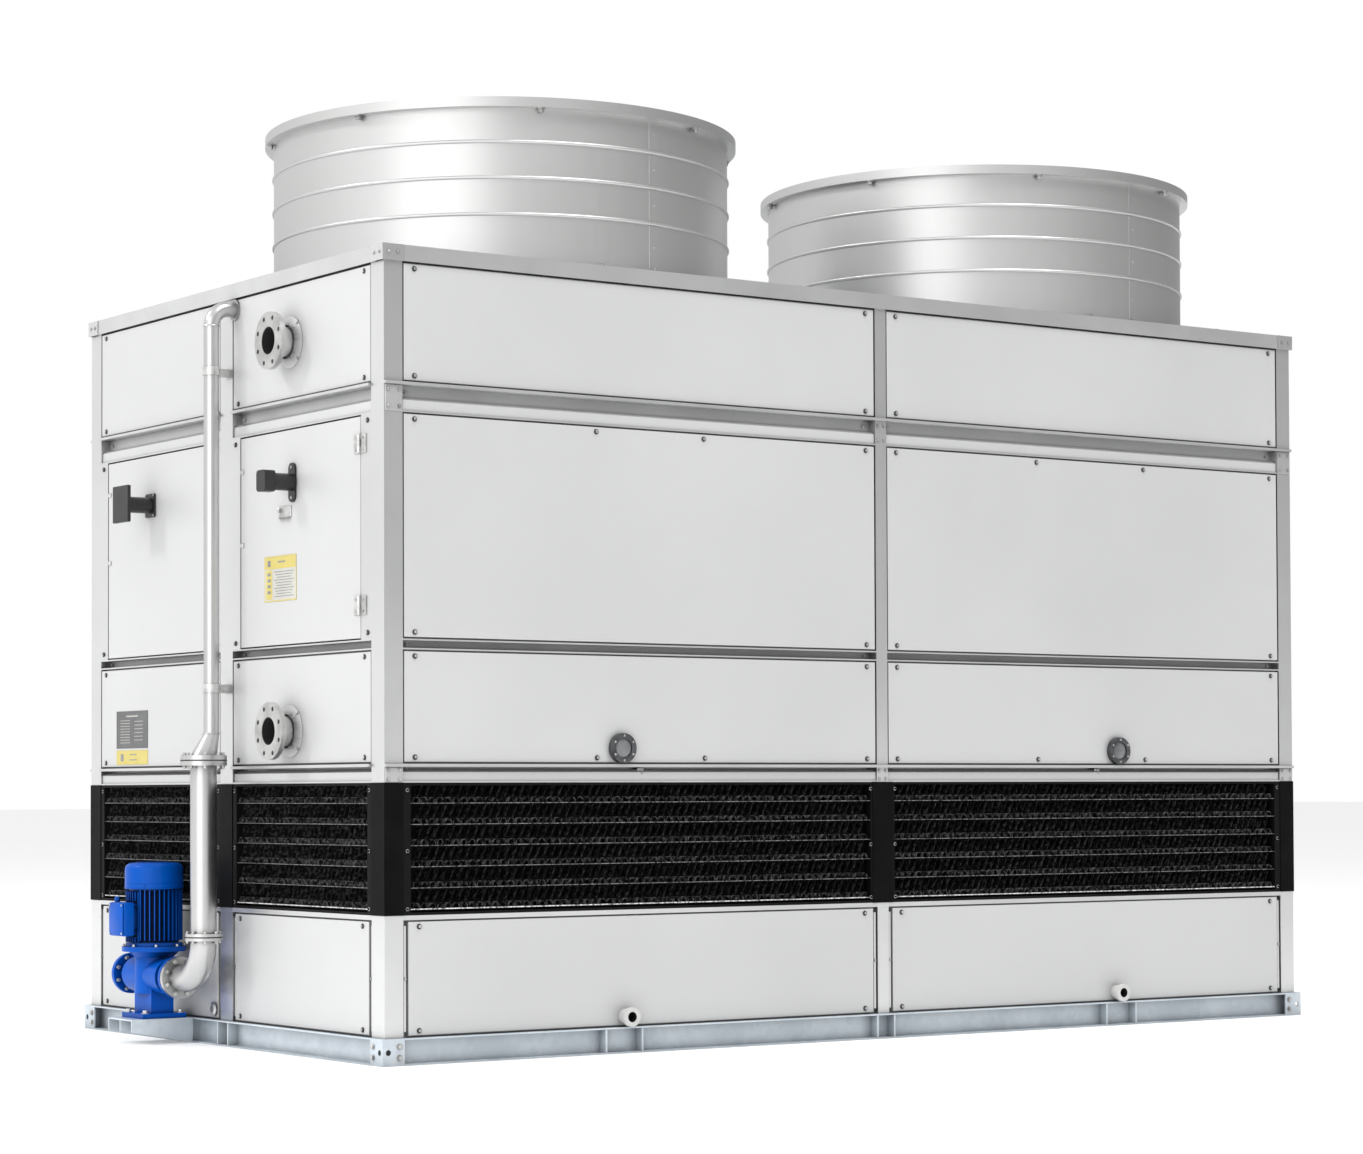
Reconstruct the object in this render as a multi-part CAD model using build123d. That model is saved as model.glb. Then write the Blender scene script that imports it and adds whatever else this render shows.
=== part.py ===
from build123d import *
import math
import os

# Mechanical draft cooling tower: a two-bay closed-circuit tower on a channel base,
# with a water basin, an inlet louvre band, a coil casing, two fan stacks and a spray pump.
# Millimetres. +X runs along the long side, the front wall faces -Y and the pump stands at
# the -X end. The origin is the centre of the middle cross member's underside.

# ---- overall sizes -------------------------------------------------------------------
LENGTH = 4600.0          # over the corner posts, along X
WIDTH = 2500.0           # over the corner posts, along Y
BASE_TOP = 100.0         # top of the base channels
BASIN_TOP = 528.0        # top of the basin panels
LOUVRE_FOOT = 545.0      # underside of the inlet louvres
LOUVRE_HEAD = 1030.0     # top of the inlet louvres
LOWER_RAIL_TOP = 1099.0
MID_RAIL_FOOT = 1517.0
MID_RAIL_TOP = 1557.0
UPPER_RAIL_FOOT = 2387.0
UPPER_RAIL_TOP = 2498.0
BAND_FOOT = 2940.0       # underside of the roof band
ROOF_TOP = 3000.0        # roof deck, ground to top

# ---- frame ---------------------------------------------------------------------------
CORNER_ON_FRONT = 78.0   # corner post width seen on the long walls
CORNER_ON_END = 95.0     # corner post width seen on the end walls
MID_ON_FRONT = 56.0
MID_ON_END = 104.0
WALL_DEPTH = 60.0        # depth of the posts and rails behind the wall line
RAIL_RECESS = 38.0       # depth of the open side of a rail
RAIL_WEB = 6.0
RAIL_LIP = 11.0          # thickness of a rail's top lip
RAIL_PROUD = 12.0        # how far the lip stands out of the wall line
MID_LIP = 6.0
BUTT_GAP = 0.5           # gap left between bars that butt at a corner
BAND_PROUD = 8.0         # how far the roof band stands out of the wall line

BASE_OVERHANG = 20.0     # base channel toes outside the wall line
BASE_FLANGE = 50.0
BASE_THICK = 6.0
GUSSET_PITCH = 165.0     # the two stiffeners beside an outer cross member
GUSSET_PITCH_MID = 86.0
GUSSET_THICK = 8.0
GUSSET_SET_BACK = 2.0    # from the channel toes
CROSS_WIDTH = 100.0
CROSS_X = 1265.0         # outer cross members, each side of the middle one
CORNER_PLATE = 92.0
LIFT_HOLE_R = 11.0
LIFT_HOLE_INSET = 24.0

# ---- panels --------------------------------------------------------------------------
PANEL_THICK = 30.0
PANEL_FLANGE = 6.0       # the panel's rear flange, which seats on posts and rails
PANEL_SEAM = 6.0         # open seam round the face of each panel
PANEL_EDGE_R = 3.0
BASIN_SIDE_STRIP = 22.0  # wider seam beside a basin panel
BASIN_FLOOR_THICK = 6.0
COVER_THICK = 3.0        # black covers over the posts beside the louvres
MID_COVER = 104.0

# ---- doors ---------------------------------------------------------------------------
HINGE_STILE = 76.0
LATCH_STILE = 66.0
DOOR_GAP = 5.0
DOOR_THICK = 40.0
HINGE_LEAF = 44.0        # width of one hinge leaf
HINGE_HEIGHT = 70.0
HINGE_PLATE = 4.0
BARREL_R = 8.0
KNUCKLE_GAP = 0.3
HINGE_LOW = 1683.0       # height of the lower hinge
HINGE_HIGH = 2280.0
NEAR_HANDLE_FROM_HINGE = 525.0
FAR_HANDLE_FROM_HINGE = 547.0
HANDLE_Z = 2178.0
HANDLE_PLATE_T = 8.0
HANDLE_BARREL_R = 33.0
HANDLE_REACH = 140.0
NEAR_PLATE = (52.0, 150.0)           # along Y and Z
NEAR_PLATE_ROUND = 24.0
NEAR_GRIP = (46.0, 70.0, 82.0)       # along X, Y and Z
NEAR_GRIP_ROUND = 16.0
FAR_PLATE = (84.0, 96.0)
FAR_PLATE_ROUND = 6.0
FAR_GRIP = (14.0, 140.0, 150.0)
FAR_GRIP_ROUND = 5.0

# ---- fan stacks ----------------------------------------------------------------------
STACK_SPACING = 2490.0   # between the two fan axes
STACK_SHIFT = 40.0       # the pair's middle, towards +X
STACK_FROM_FRONT = 955.0 # fan axes behind the front wall line
STACK_R = 920.0          # outside of the shell
STACK_SHELL = 4.0
BEAD_R = 7.0
BEAD_HEIGHTS = (190.0, 330.0, 467.0)
RIM_FOOT = 595.0
RIM_TOP = 632.0
RIM_WIDTH = 35.0
STACK_FOOT_WIDTH = 30.0
STACK_FOOT_T = 6.0
DECK_THICK = 6.0
DECK_LAND = 20.0         # deck left inside the shell's outside
DECK_SEAM = 2.0
FAN_PLANE = 335.0        # fan mid-height above the roof
FAN_TIP_GAP = 16.0
BLADES = 6
BLADE_CHORD = 210.0
BLADE_THICK = 12.0
BLADE_PITCH = 24.0
BLADE_ROOT = 30.0        # length of a blade inside the hub
HUB_R = 150.0
HUB_HEIGHT = 130.0
FAN_MOTOR_R = 165.0
FAN_SHAFT_R = 37.5
FAN_MOTOR_FOOT = 92.0    # above the roof
FAN_MOTOR_TOP = 255.0
FAN_BEAM_FOOT = 32.0
FAN_BEAM_WIDTH = 60.0
FAN_BEAM_PITCH = 260.0
BEAM_END_GAP = 0.3

# ---- inside --------------------------------------------------------------------------
COIL_FROM_END = 315.0    # access space between the end wall and the coil
COIL_FOOT = 1180.0
COIL_TOP = 2760.0
HEADER_R = 30.0
HEADER_Z = 2880.0
BRANCH_R = 17.0
BRANCH_PITCH = 400.0
ELIMINATOR_THICK = 45.0

# ---- coil connections ----------------------------------------------------------------
COIL_PIPE_R = 57.15      # 114.3 mm pipe
COIL_BORE_R = 53.0
CONNECTION_Y = -530.0
CONNECTION_HEIGHTS = (1229.0, 2717.0)
CONNECTION_REACH = 95.0  # flange face to wall line
FLANGE_R = 110.0
FLANGE_THICK = 20.0
FLANGE_PCD = 180.0
FLANGE_HOLES = 8
FLANGE_HOLE_R = 9.0
COLLAR_R = 88.0
COLLAR_THICK = 6.0

# ---- drains and sight ports ----------------------------------------------------------
DRAIN_X = 1250.0
DRAIN_Z = 139.0
DRAIN_R = 31.0
DRAIN_RIM_R = 37.0
DRAIN_RIM = 14.0
DRAIN_BORE_R = 20.0
DRAIN_REACH = 50.0
DRAIN_WALL = 3.0         # what is left of the nipple behind its bore
PORT_X = 1265.0
PORT_Z = 1160.0
PORT_R = 57.0
PORT_GLASS_R = 37.0
PORT_THICK = 22.0
PORT_GLASS_THICK = 14.0

# ---- spray pump and riser ------------------------------------------------------------
PUMP_OUT = 138.0         # pump axis outside the end wall line
PUMP_Y = 362.0
RISER_Y = -75.0
PUMP_AXIS_Z = 268.0
SKID_HALF_WIDTH = 107.0
SKID_REACH = 287.0       # outside the end wall line
SKID_TIP = 50.0
SKID_PLATE = 6.0
PUMP_FOOT = 190.0
PUMP_FOOT_T = 20.0
PEDESTAL_X = 98.0
PEDESTAL_Y = 150.0
BODY_R = 70.0            # level body along the pipe run
BODY_HALF = 150.0
LANTERN_R = 78.0         # upright body under the motor
LANTERN_FLARE = 24.0
NECK_R = 52.0
PUMP_FACE = 220.0        # pump flange faces, each side of the axis
PUMP_FLANGE_R = 82.0
PUMP_FLANGE_T = 20.0
ADAPTER_R = 128.0
ADAPTER_FOOT = 365.0
ADAPTER_TOP = 385.0
MOTOR_R = 98.0
FIN_R = 113.0
FINS = 36
FIN_THICK = 4.0
FIN_FOOT_GAP = 10.0      # above the motor flange
FIN_TOP_GAP = 4.0
FIN_ROOT = 8.0           # depth of a fin inside the motor body
MOTOR_FLANGE_T = 14.0
MOTOR_TOP = 614.0
FAN_COVER_R = 116.0
FAN_COVER_TOP = 717.0
FAN_COVER_EDGE_R = 26.0
BOX_WIDTH = 130.0
BOX_DEPTH = 58.0
BOX_FOOT = 428.0
BOX_TOP = 562.0
BOX_SECTOR = 32.0        # degrees each side of the terminal box without fins
BOX_CORNER_R = 8.0
BOX_NECK_INSET = 22.0
BOX_NECK_ROOT = 8.0
GLAND_R = 11.0
GLAND_HEIGHT = 22.0
GLAND_INSET = 26.0       # from the end of the terminal box
RISER_R = 52.0
ELBOW_R = 152.0
PAIR_FLANGE_R = 73.0     # flanged joint above the elbow
PAIR_FLANGE_T = 14.0
TOP_FLANGE_R = 90.0      # flanged joint below the reducer
TOP_FLANGE_T = 20.0
REDUCER_FOOT = 1142.0
REDUCER_TOP = 1227.0
UPPER_PIPE_R = 30.5
UPPER_PIPE_OUT = 104.0
UPPER_BEND_R = 70.0
UPPER_TURN_Z = 2895.0
WALL_COLLAR_R = 42.0
CLAMP_HEIGHTS = (1404.0, 2647.0)
CLAMP_WALL = 4.0
CLAMP_HEIGHT = 34.0
CLAMP_LAP = 3.0          # the arm laps this far over the band
CLAMP_ARM = 5.0          # thickness of the arm and its foot
CLAMP_FOOT = 45.0        # width of the foot on the post

# ---- worked out ----------------------------------------------------------------------
OVERCUT = 1.0            # how far a cut runs past the face that it opens
HALF_L = LENGTH / 2
HALF_W = WIDTH / 2
BAND_DEPTH = WALL_DEPTH
DECK_FOOT = ROOF_TOP - DECK_THICK
STACK_Y = -HALF_W + STACK_FROM_FRONT
RIM_R = STACK_R + RIM_WIDTH
STACK_FOOT_R = STACK_R + STACK_FOOT_WIDTH
DECK_HOLE_R = STACK_R - DECK_LAND
STACK_X = (STACK_SHIFT - STACK_SPACING / 2, STACK_SHIFT + STACK_SPACING / 2)
PUMP_X = -HALF_L - PUMP_OUT
UPPER_PIPE_X = -HALF_L - UPPER_PIPE_OUT
LONG_BAYS = (
    (-HALF_L + CORNER_ON_FRONT, -MID_ON_FRONT / 2),
    (MID_ON_FRONT / 2, HALF_L - CORNER_ON_FRONT),
)
END_BAYS = (
    (-HALF_W + CORNER_ON_END, -MID_ON_END / 2),
    (MID_ON_END / 2, HALF_W - CORNER_ON_END),
)
NEAR_HINGE_Y = END_BAYS[0][0] + HINGE_STILE
NEAR_LATCH_Y = END_BAYS[0][1] - LATCH_STILE
FAR_HINGE_Y = END_BAYS[1][0] + HINGE_STILE
FAR_LATCH_Y = END_BAYS[1][1] - LATCH_STILE
HINGE_AXIS_X = -HALF_L - BARREL_R
SIDES = ("front", "back", "left", "right")


def block(x0, x1, y0, y1, z0, z1):
    """A box between two corners."""
    low = (min(x0, x1), min(y0, y1), min(z0, z1))
    size = (abs(x1 - x0), abs(y1 - y0), abs(z1 - z0))
    return Pos(*low) * Box(*size, align=(Align.MIN, Align.MIN, Align.MIN))


def wall_point(side, u, d):
    """Plan position u along a wall and d behind its outer line."""
    return {
        "front": (u, -HALF_W + d),
        "back": (-u, HALF_W - d),
        "left": (-HALF_L + d, u),
        "right": (HALF_L - d, -u),
    }[side]


def wall_block(side, u0, u1, d0, d1, z0, z1):
    """A box on a wall: along it, behind its outer line, and in height."""
    xa, ya = wall_point(side, u0, d0)
    xb, yb = wall_point(side, u1, d1)
    return block(xa, xb, ya, yb, z0, z1)


def outward_face(solid, side):
    """The face of a wall piece that looks out of the tower."""
    axis = Axis.Y if side in ("front", "back") else Axis.X
    first = side in ("front", "left")
    return solid.faces().sort_by(axis)[0 if first else -1]


def bays(side):
    return LONG_BAYS if side in ("front", "back") else END_BAYS


def upright(radius, x, y, z0, z1):
    """A vertical cylinder between two heights."""
    return Pos(x, y, (z0 + z1) / 2) * Cylinder(radius, z1 - z0)


def along_x(radius, x0, x1, y, z):
    return Pos((x0 + x1) / 2, y, z) * Rot(0, 90, 0) * Cylinder(radius, abs(x1 - x0))


def along_y(radius, x, y0, y1, z):
    return Pos(x, (y0 + y1) / 2, z) * Rot(90, 0, 0) * Cylinder(radius, abs(y1 - y0))


def quarter_bend(start, end, centre):
    """A quarter circle between two points about a centre."""
    start, end, centre = Vector(*start), Vector(*end), Vector(*centre)
    outward = (start - centre) + (end - centre)
    middle = centre + outward.normalized() * (start - centre).length
    return ThreePointArc(start, middle, end)


def save(name, solids):
    """Write one named node, holding one solid or several that don't touch."""
    solids = solids if isinstance(solids, list) else [solids]
    shape = solids[0] if len(solids) == 1 else Compound(children=[Part(s.wrapped) for s in solids])
    export_step(shape, os.path.join("parts", name + ".step"))


# ---- base ----------------------------------------------------------------------------
def base_rail(side):
    """A channel laid open side out, with stiffeners in its mouth."""
    half = (HALF_L if side in ("front", "back") else HALF_W) + BASE_OVERHANG
    half -= BASE_THICK if side in ("front", "back") else BASE_FLANGE + BUTT_GAP
    toe = -BASE_OVERHANG
    heel = toe + BASE_FLANGE
    rail = wall_block(side, -half, half, toe, heel, 0, BASE_TOP)
    rail -= wall_block(side, -half, half, toe, heel - BASE_THICK, BASE_THICK, BASE_TOP - BASE_THICK)
    if side in ("front", "back"):
        spots = [(-CROSS_X, GUSSET_PITCH), (0, GUSSET_PITCH_MID), (CROSS_X, GUSSET_PITCH)]
    else:
        spots = [(0, GUSSET_PITCH_MID)]
    for middle, pitch in spots:
        for u in (middle - pitch / 2, middle + pitch / 2):
            rail += wall_block(side, u - GUSSET_THICK / 2, u + GUSSET_THICK / 2,
                               toe + GUSSET_SET_BACK, heel - BASE_THICK, BASE_THICK, BASE_TOP - BASE_THICK)
    return rail


def base_corner_plate(sx, sy):
    """An angle closing the channel mouths at one corner, with a lifting hole each way."""
    outer_x = HALF_L + BASE_OVERHANG
    outer_y = HALF_W + BASE_OVERHANG
    z0, z1 = BASE_THICK, BASE_TOP - BASE_THICK
    inner_x = outer_x - CORNER_PLATE
    inner_y = outer_y - CORNER_PLATE
    end_x = outer_x - BASE_THICK
    plate = block(inner_x, end_x, outer_y - BASE_THICK, outer_y, z0, z1)
    plate += block(end_x, outer_x, inner_y, outer_y, z0, z1)
    plate += block(end_x, outer_x, outer_y - BASE_FLANGE, outer_y, 0, BASE_TOP)
    middle = (z0 + z1) / 2
    hole_x, hole_y = outer_x - LIFT_HOLE_INSET, outer_y - LIFT_HOLE_INSET
    plate -= along_y(LIFT_HOLE_R, hole_x, outer_y - 2 * BASE_THICK, outer_y + OVERCUT, middle)
    plate -= along_x(LIFT_HOLE_R, outer_x - 2 * BASE_THICK, outer_x + OVERCUT, hole_y, middle)
    if sx < 0:
        plate = mirror(plate, about=Plane.YZ)
    if sy < 0:
        plate = mirror(plate, about=Plane.XZ)
    return plate


def cross_member(x):
    """A base beam between the webs of the long channels."""
    web = HALF_W + BASE_OVERHANG - BASE_FLANGE
    return block(x - CROSS_WIDTH / 2, x + CROSS_WIDTH / 2, -web, web, 0, BASE_TOP)


def pump_skid():
    """A tapered open-ended bracket on the end channel that carries the pump."""
    x0 = -HALF_L - SKID_REACH
    x1 = -HALF_L - BASE_OVERHANG
    y0, y1 = PUMP_Y - SKID_HALF_WIDTH, PUMP_Y + SKID_HALF_WIDTH
    skid = block(x0, x1, y0, y1, BASE_TOP - SKID_PLATE, BASE_TOP)
    side = Polyline((x0, BASE_TOP), (x1, BASE_TOP), (x1, 0), (x0, BASE_TOP - SKID_TIP), close=True)
    cheek = extrude(make_face(Plane.XZ * side), SKID_PLATE / 2, both=True)
    for y in (y0 + SKID_PLATE / 2, PUMP_Y, y1 - SKID_PLATE / 2):
        skid += Pos(0, y, 0) * cheek
    return skid


# ---- frame ---------------------------------------------------------------------------
def corner_post(sx, sy):
    return block(sx * HALF_L, sx * (HALF_L - CORNER_ON_FRONT),
                 sy * HALF_W, sy * (HALF_W - CORNER_ON_END), BASE_TOP, BAND_FOOT)


def mid_post(side):
    half = (MID_ON_FRONT if side in ("front", "back") else MID_ON_END) / 2
    return wall_block(side, -half, half, 0, WALL_DEPTH, BASE_TOP, BAND_FOOT)


def rail_length(side, u0, u1, z0, z1, lip):
    """One bay of rail: a channel open to the outside, its top lip the thicker one."""
    bar = wall_block(side, u0, u1, 0, WALL_DEPTH, z0, z1)
    bar -= wall_block(side, u0, u1, 0, RAIL_RECESS, z0 + RAIL_WEB, z1 - lip)
    bar -= wall_block(side, u0, u1, RAIL_RECESS + RAIL_WEB, WALL_DEPTH, z0 + RAIL_WEB, z1 - lip)
    return bar


def storey_rails(z0, z1):
    """Rails round all four walls with a lip that stands out and crosses the posts."""
    solids = []
    for side in ("front", "back"):
        ring = wall_block(side, -HALF_L, HALF_L, -RAIL_PROUD, 0, z1 - RAIL_LIP, z1)
        for u0, u1 in bays(side):
            ring += rail_length(side, u0, u1, z0, z1, RAIL_LIP)
        solids.append(ring)
    for side in ("left", "right"):
        for u0, u1 in bays(side):
            bar = rail_length(side, u0, u1, z0, z1, RAIL_LIP)
            bar += wall_block(side, u0, u1, -RAIL_PROUD, 0, z1 - RAIL_LIP, z1)
            solids.append(bar)
    return solids


def mid_rails():
    return [rail_length(side, u0, u1, MID_RAIL_FOOT, MID_RAIL_TOP, MID_LIP)
            for side in SIDES for u0, u1 in bays(side)]


def basin_top_rails():
    return [wall_block(side, u0, u1, 0, WALL_DEPTH, BASIN_TOP, LOUVRE_FOOT)
            for side in SIDES for u0, u1 in bays(side)]


# ---- panels --------------------------------------------------------------------------
def panel(side, u0, u1, z0, z1, side_seam=PANEL_SEAM):
    """A folded sheet panel: a rounded face with an open seam round it and a rear flange."""
    face_depth = PANEL_THICK - PANEL_FLANGE
    face = wall_block(side, u0 + side_seam, u1 - side_seam, 0, face_depth, z0 + PANEL_SEAM, z1 - PANEL_SEAM)
    face = fillet(outward_face(face, side).edges(), PANEL_EDGE_R)
    return face + wall_block(side, u0, u1, face_depth, PANEL_THICK, z0, z1)


def panel_row(z0, z1, sides=SIDES, side_seam=PANEL_SEAM):
    return [panel(side, u0, u1, z0, z1, side_seam) for side in sides for u0, u1 in bays(side)]


def louvre_row(side):
    """The inlet louvre packs of one wall, one in each bay."""
    return [wall_block(side, u0, u1, 0, WALL_DEPTH, LOUVRE_FOOT, LOUVRE_HEAD) for u0, u1 in bays(side)]


def corner_cover(sx, sy):
    """A folded cover round a corner post at louvre height."""
    outer_x, outer_y = HALF_L + COVER_THICK, HALF_W + COVER_THICK
    cover = block(HALF_L - CORNER_ON_FRONT, outer_x, HALF_W, outer_y, LOUVRE_FOOT, LOUVRE_HEAD)
    cover += block(HALF_L, outer_x, HALF_W - CORNER_ON_END, outer_y, LOUVRE_FOOT, LOUVRE_HEAD)
    if sx < 0:
        cover = mirror(cover, about=Plane.YZ)
    if sy < 0:
        cover = mirror(cover, about=Plane.XZ)
    return cover


def mid_cover(side):
    return wall_block(side, -MID_COVER / 2, MID_COVER / 2, -COVER_THICK, 0, LOUVRE_FOOT, LOUVRE_HEAD)


# ---- doors ---------------------------------------------------------------------------
def hinge_knuckle(y, z0, z1):
    return upright(BARREL_R, HINGE_AXIS_X, y, z0, z1)


def fixed_leaf(y, z):
    """The hinge leaf on the stile, with the outer two knuckles of its barrel."""
    low, high = z - HINGE_HEIGHT / 2, z + HINGE_HEIGHT / 2
    third = HINGE_HEIGHT / 3
    leaf = wall_block("left", y - HINGE_LEAF, y - BARREL_R, -HINGE_PLATE, 0, low, high)
    for z0, z1 in ((low, low + third), (high - third, high)):
        leaf += wall_block("left", y - BARREL_R, y, -HINGE_PLATE, 0, z0, z1)
        leaf += hinge_knuckle(y, z0, z1)
    return leaf


def moving_leaf(y, z):
    """The hinge leaf on the door, with the middle knuckle."""
    low, high = z - HINGE_HEIGHT / 2, z + HINGE_HEIGHT / 2
    third = HINGE_HEIGHT / 3
    z0, z1 = low + third + KNUCKLE_GAP, high - third - KNUCKLE_GAP
    leaf = wall_block("left", y + BARREL_R, y + HINGE_LEAF, -HINGE_PLATE, 0, low, high)
    leaf += wall_block("left", y, y + BARREL_R, -HINGE_PLATE, -HINGE_PLATE / 2, z0, z1)
    leaf += hinge_knuckle(y, z0, z1)
    return leaf


def door_stiles():
    """The upright strips each side of the two doors."""
    strips = [(END_BAYS[0][0], NEAR_HINGE_Y), (NEAR_LATCH_Y, END_BAYS[0][1]),
              (END_BAYS[1][0], FAR_HINGE_Y), (FAR_LATCH_Y, END_BAYS[1][1])]
    return [wall_block("left", y0, y1, 0, WALL_DEPTH, MID_RAIL_TOP, UPPER_RAIL_FOOT) for y0, y1 in strips]


def door_leaf(hinge_y, latch_y):
    """An access door: a flat tray between the stiles and the rails."""
    face = wall_block("left", hinge_y + DOOR_GAP, latch_y - DOOR_GAP, 0, DOOR_THICK,
                      MID_RAIL_TOP + DOOR_GAP, UPPER_RAIL_FOOT - DOOR_GAP)
    return fillet(outward_face(face, "left").edges(), PANEL_EDGE_R)


def door_handle(y, plate_size, plate_round, grip_size, grip_round):
    """A standing pull handle: a wall plate, a round barrel and a rounded end block."""
    plate_y, plate_z = plate_size
    grip_x, grip_y, grip_z = grip_size
    x_plate = -HALF_L - HANDLE_PLATE_T
    x_end = -HALF_L - HANDLE_REACH
    plate = block(-HALF_L, x_plate, y - plate_y / 2, y + plate_y / 2,
                  HANDLE_Z - plate_z / 2, HANDLE_Z + plate_z / 2)
    plate = fillet(plate.edges().filter_by(Axis.X), plate_round)
    barrel = along_x(HANDLE_BARREL_R, x_plate, x_end + grip_x, y, HANDLE_Z)
    grip = block(x_end, x_end + grip_x, y - grip_y / 2, y + grip_y / 2,
                 HANDLE_Z - grip_z / 2, HANDLE_Z + grip_z / 2)
    return plate + barrel + fillet(grip.edges().filter_by(Axis.X), grip_round)


# ---- roof and fans -------------------------------------------------------------------
def roof_band(side):
    """The edge beam of the roof: a box on the posts with a proud outer face."""
    half = HALF_L if side in ("front", "back") else HALF_W - BAND_DEPTH - BUTT_GAP
    skin = half + BAND_PROUD if side in ("front", "back") else half
    bar = wall_block(side, -half, half, 0, BAND_DEPTH, BAND_FOOT, DECK_FOOT)
    return bar + wall_block(side, -skin, skin, -BAND_PROUD, 0, BAND_FOOT, ROOF_TOP)


def corner_cap(sx, sy):
    """A folded angle plate over the band at one corner."""
    reach = CORNER_ON_FRONT + BAND_PROUD
    x0, y0 = HALF_L + BAND_PROUD, HALF_W + BAND_PROUD
    cap = block(x0 - reach, x0 + COVER_THICK, y0, y0 + COVER_THICK, BAND_FOOT, ROOF_TOP)
    cap += block(x0, x0 + COVER_THICK, y0 - reach, y0 + COVER_THICK, BAND_FOOT, ROOF_TOP)
    if sx < 0:
        cap = mirror(cap, about=Plane.YZ)
    if sy < 0:
        cap = mirror(cap, about=Plane.XZ)
    return cap


def deck_sheet(index):
    """One half of the roof deck, with its fan hole."""
    seam = STACK_SHIFT
    x0, x1 = ((-HALF_L, seam - DECK_SEAM / 2), (seam + DECK_SEAM / 2, HALF_L))[index]
    sheet = block(x0, x1, -HALF_W, HALF_W, DECK_FOOT, ROOF_TOP)
    return sheet - upright(DECK_HOLE_R, STACK_X[index], STACK_Y, DECK_FOOT - OVERCUT, ROOF_TOP + OVERCUT)


def fan_stack(x):
    """A rolled shell with three pressed beads, a foot flange and a square rim."""
    inner = STACK_R - STACK_SHELL
    lines = [Line((inner, RIM_TOP), (inner, 0)), Line((inner, 0), (STACK_FOOT_R, 0)),
             Line((STACK_FOOT_R, 0), (STACK_FOOT_R, STACK_FOOT_T)),
             Line((STACK_FOOT_R, STACK_FOOT_T), (STACK_R, STACK_FOOT_T))]
    height = STACK_FOOT_T
    for bead in BEAD_HEIGHTS:
        lines.append(Line((STACK_R, height), (STACK_R, bead - BEAD_R)))
        crown = (STACK_R + BEAD_R, bead)
        lines.append(ThreePointArc((STACK_R, bead - BEAD_R), crown, (STACK_R, bead + BEAD_R)))
        height = bead + BEAD_R
    lines += [Line((STACK_R, height), (STACK_R, RIM_FOOT)), Line((STACK_R, RIM_FOOT), (RIM_R, RIM_FOOT)),
              Line((RIM_R, RIM_FOOT), (RIM_R, RIM_TOP)), Line((RIM_R, RIM_TOP), (inner, RIM_TOP))]
    profile = make_face(Plane.XZ * Wire(lines))
    return Pos(x, STACK_Y, ROOF_TOP) * revolve(profile, Axis.Z)


def fan_rotor(x):
    """A hub with pitched blades."""
    tip = STACK_R - STACK_SHELL - FAN_TIP_GAP
    rotor = Cylinder(HUB_R, HUB_HEIGHT)
    span = tip - HUB_R + BLADE_ROOT
    for n in range(BLADES):
        blade = Box(span, BLADE_CHORD, BLADE_THICK)
        blade = Pos(HUB_R - BLADE_ROOT + span / 2, 0, 0) * Rot(BLADE_PITCH, 0, 0) * blade
        rotor += Rot(0, 0, n * 360 / BLADES) * blade
    rotor = rotor & Cylinder(tip, 2 * HUB_HEIGHT)
    return Pos(x, STACK_Y, ROOF_TOP + FAN_PLANE) * rotor


def fan_motor(x):
    """An upright motor whose shaft carries the hub."""
    hub_foot = FAN_PLANE - HUB_HEIGHT / 2
    motor = upright(FAN_MOTOR_R, x, STACK_Y, ROOF_TOP + FAN_MOTOR_FOOT, ROOF_TOP + FAN_MOTOR_TOP)
    return motor + upright(FAN_SHAFT_R, x, STACK_Y, ROOF_TOP + FAN_MOTOR_TOP, ROOF_TOP + hub_foot)


def fan_support(x):
    """Two beams across the stack and two short ones that carry the motor."""
    reach = STACK_R - STACK_SHELL - BEAM_END_GAP
    z0, z1 = ROOF_TOP + FAN_BEAM_FOOT, ROOF_TOP + FAN_MOTOR_FOOT
    frame = None
    for side in (-1, 1):
        y = STACK_Y + side * FAN_BEAM_PITCH / 2
        beam = block(x - reach, x + reach, y - FAN_BEAM_WIDTH / 2, y + FAN_BEAM_WIDTH / 2, z0, z1)
        frame = beam if frame is None else frame + beam
    for side in (-1, 1):
        px = x + side * FAN_BEAM_PITCH / 2
        frame += block(px - FAN_BEAM_WIDTH / 2, px + FAN_BEAM_WIDTH / 2,
                       STACK_Y - FAN_BEAM_PITCH / 2, STACK_Y + FAN_BEAM_PITCH / 2, z0, z1)
    return frame & upright(reach, x, STACK_Y, z0 - OVERCUT, z1 + OVERCUT)


# ---- inside --------------------------------------------------------------------------
def coil_bundle():
    """The envelope of the tube coil, notched round the posts and rails."""
    x0 = -HALF_L + COIL_FROM_END
    wall = PANEL_THICK
    coil = block(x0, HALF_L - wall, -HALF_W + CORNER_ON_END, HALF_W - CORNER_ON_END, COIL_FOOT, COIL_TOP)
    coil += block(x0, HALF_L - CORNER_ON_END, -HALF_W + wall, HALF_W - wall, COIL_FOOT, COIL_TOP)
    for side in SIDES:
        half = (MID_ON_FRONT if side in ("front", "back") else MID_ON_END) / 2
        coil -= wall_block(side, -half, half, 0, WALL_DEPTH, COIL_FOOT - OVERCUT, COIL_TOP + OVERCUT)
        coil -= wall_block(side, -HALF_L, HALF_L, 0, WALL_DEPTH, MID_RAIL_FOOT, MID_RAIL_TOP)
        coil -= wall_block(side, -HALF_L, HALF_L, 0, WALL_DEPTH, UPPER_RAIL_FOOT, UPPER_RAIL_TOP)
    return coil


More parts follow.
